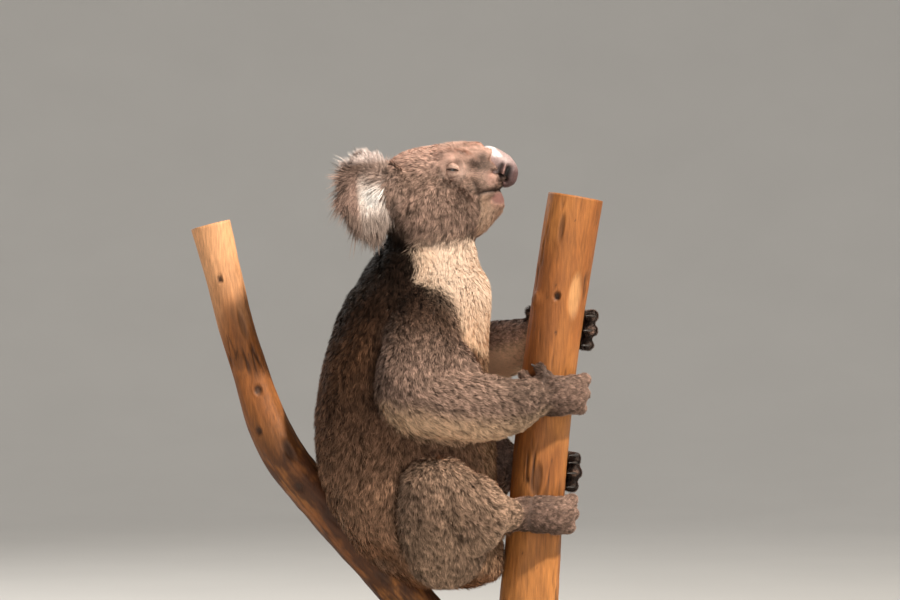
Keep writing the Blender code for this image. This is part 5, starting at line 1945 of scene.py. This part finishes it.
# %% Wood material and pieces
def wood_material():
    """Stripped gum wood: stored colour with fine fibres, duller where it is pale."""
    material, shader = new_material("gum wood", 0.58, specular=0.35)
    fibres = noise_node(shader, 480.0, 4.0, (1, 1, 0.1))
    pits = noise_node(shader, 1400.0, 2.0)
    base = varied(shader, stored_colour(shader), fibres, 0.8, 1.18)
    wire(varied(shader, base, pits, 0.92, 1.06), shader.inputs["Base Color"])
    dull = add_node(shader, "MapRange", To_Min=0.48, To_Max=0.72)
    wire(fibres, dull.inputs["Value"])
    wire(dull.outputs["Result"], shader.inputs["Roughness"])
    add_bump(shader, fibres, 0.55, 0.001)
    return material


wood = wood_material()
for name, rows, marks, seed, node in (
    ("upright", post_rows, POST_MARKS, 50, "perch_post"),
    ("seat_branch", branch_rows, BRANCH_MARKS, 70, "perch_branch"),
):
    (points, faces), colours = stem_surface(rows, STEM_AROUND, marks, seed, node == "perch_branch")
    piece = new_object(name, points, faces)
    painted(piece, colours)
    finished(piece, wood, "gum_wood", node)

# %% [markdown]
# ## The display stand
#
# A museum stand should hold the model and be overlooked: a satin black plate with rounded corners and
# a small bevel, and two brushed steel rods that enter the wood from below. Plate and rods are profiles
# carried round an outline. Each rod has a shallow collar where it meets the plate.

# %% Base and rods
PLATE_LONG, PLATE_WIDE, PLATE_THICK, PLATE_CORNER = 0.54, 0.35, 0.024, 0.03
COLLAR_FOOT = PLATE_THICK + 0.0002
# How far the plate's outline is drawn in, and the height.
PLATE_PROFILE = [
    (0.165, 0.0), (0.08, 0.0), (0.003, 0.0), (0.0009, 0.0009), (0, 0.003), (0, PLATE_THICK - 0.003),
    (0.0009, PLATE_THICK - 0.0009), (0.003, PLATE_THICK), (0.006, PLATE_THICK), (0.08, PLATE_THICK),
    (0.165, PLATE_THICK),
]
# How far the rod's collar stands out from the rod, and the height over its foot.
COLLAR_PROFILE = [
    (0.006, 0.0), (0.0065, 0.001), (0.0065, 0.0045), (0.0055, 0.006), (0.001, 0.0068), (0, 0.0085),
]


def plate_rings():
    """A rounded rectangle carried up the profile: flat underside, small bevels, flat top. The corners are
    quarter circles, and where the outline is drawn in by more than them the whole ring shrinks."""
    turn = full_turn(160)
    way = np.column_stack([np.cos(turn), np.sin(turn)])
    centre = np.where(way > 0, 1, -1) * (PLATE_LONG / 2 - PLATE_CORNER, PLATE_WIDE / 2 - PLATE_CORNER)
    rings = []
    for inward, height in PLATE_PROFILE:
        flat = centre + (PLATE_CORNER - min(inward, 0.029)) * way
        flat = flat * (1 - max(inward - 0.029, 0) / 0.145)
        rings.append(np.column_stack([flat, np.full(len(turn), height)]))
    return np.array(rings)


def rod_rings(x, radius, top):
    """A turned profile: a low collar on the plate, a waist and a straight rod."""
    profile = [(radius + more, COLLAR_FOOT + height) for more, height in COLLAR_PROFILE] + [(radius, top)]
    return np.array([circle(x, r, z, 64) for r, z in profile])


def plate_material():
    """Satin black powder coat, with a fine orange-peel bump."""
    material, shader = new_material("base paint", 0.42, specular=0.5)
    tones = ((0.02, 0.02, 0.021), (0.03, 0.03, 0.032))
    two_tone(shader, noise_node(shader, 14.0, 3.0), (0.3, 0.7), tones)
    add_bump(shader, noise_node(shader, 1800.0, 2.0), 0.25, 0.0002)
    return material


def rod_material():
    """Brushed steel: fine rings round the rod in its colour and bump."""
    material, shader = new_material("rod steel", 0.3)
    shader.inputs["Metallic"].default_value = 1.0
    brush = noise_node(shader, 60.0, 3.0, (1, 1, 40))
    tones = ((0.48, 0.48, 0.49), (0.62, 0.62, 0.63))
    two_tone(shader, brush, (0.0, 1.0), tones)
    add_bump(shader, brush, 0.2, 0.0002)
    return material


base = new_object("stand_plate", *closed(plate_rings()))
finished(base, plate_material(), "base_paint", "stand_base")
base.data.set_sharp_from_angle(angle=math.radians(35))
steel = rod_material()
for name, x, radius, top, node in (
    ("stand_rod_upright", float(post_axis(POST_FOOT)), 0.011, 0.08, "stand_rod_post"),
    ("stand_rod_seat", 0.012, 0.008, 0.225, "stand_rod_branch"),
):
    rod = new_object(name, *closed(rod_rings(x, radius, top)))
    finished(rod, steel, "rod_steel", node)
    rod.data.set_sharp_from_angle(angle=math.radians(35))

# %% [markdown]
# ## Floor, light and camera
#
# The floor is a wide pale bowl: flat where the model stands and curving up far away, so no horizon line
# cuts the view from any side. A small, strong, warm lamp stands in for sun from the upper front, two
# large weaker ones fill the side we look at and the back, and an even sky keeps shadows open. The
# camera looks level at the koala's right side.

# %% Floor
def floor_rings():
    """Circles whose height is 0 out to 4.2 m and then follows a quarter circle of 4 m radius."""
    flat = [(r, 0.0) for r in (0.05, 0.5, 1.5, 3.0, 4.2)]
    rise = [(4.2 + 4 * math.sin(a), 4 * (1 - math.cos(a))) for a in np.radians(np.linspace(6, 84, 14))]
    return np.array([circle(0, r, z - 0.0005, 96) for r, z in flat + rise])


rings = floor_rings()
quads, fans = ring_faces(*rings.shape[:2])
points = np.vstack([rings.reshape(-1, 3), rings[0].mean(0)])
middle = fans[fans.max(1) == len(points) - 1]
floor = new_object("floor", points, quads.tolist() + middle.tolist())
material, shader = new_material("pale floor", 0.85, specular=0.2)
pale = add_node(shader, "RGB")
pale.outputs[0].default_value = (0.66, 0.65, 0.63, 1)
cloudy = varied(shader, pale.outputs[0], noise_node(shader, 3.0, 4.0), 0.985, 1.015)
wire(cloudy, shader.inputs["Base Color"])
floor.data.materials.append(material)
floor.data.shade_smooth()

# %% Light and camera
def lamp(name, place, aim, size, watts, colour):
    """A square area lamp turned so that its -Z looks from place to aim."""
    light = bpy.data.lights.new(name, "AREA")
    light.size = size
    light.energy = watts
    light.color = colour
    obj = bpy.data.objects.new(name, light)
    bpy.context.scene.collection.objects.link(obj)
    way = np.array(aim) - np.array(place)
    obj.location = place
    lean = math.acos(-way[2] / np.linalg.norm(way))
    obj.rotation_euler = (lean, 0, math.atan2(way[1], way[0]) - math.pi / 2)


MIDDLE = (0.03, 0.0, 0.55)
lamp("key", (1.55, -1.15, 2.75), MIDDLE, 0.16, 150, (1.0, 0.92, 0.8))
lamp("fill", (0.4, -3.2, 0.9), MIDDLE, 2.0, 20, (1.0, 0.96, 0.92))
lamp("back", (-1.4, 2.0, 2.0), MIDDLE, 1.4, 30, (1.0, 0.97, 0.93))
scene = bpy.context.scene
scene.world = bpy.data.worlds.new("sky")
scene.world.use_nodes = True
sky = scene.world.node_tree.nodes["Background"]
sky.inputs["Color"].default_value = (1.0, 0.97, 0.94, 1)
sky.inputs["Strength"].default_value = 0.42

camera = bpy.data.objects.new("camera", bpy.data.cameras.new("camera"))
scene.collection.objects.link(camera)
camera.location = (0.0625, -3.5, 0.611)
camera.rotation_euler = (math.radians(90), 0, 0)
camera.data.lens = 112
camera.data.sensor_width = 36
camera.data.clip_end = 60
scene.camera = camera
scene.view_settings.view_transform = "Standard"
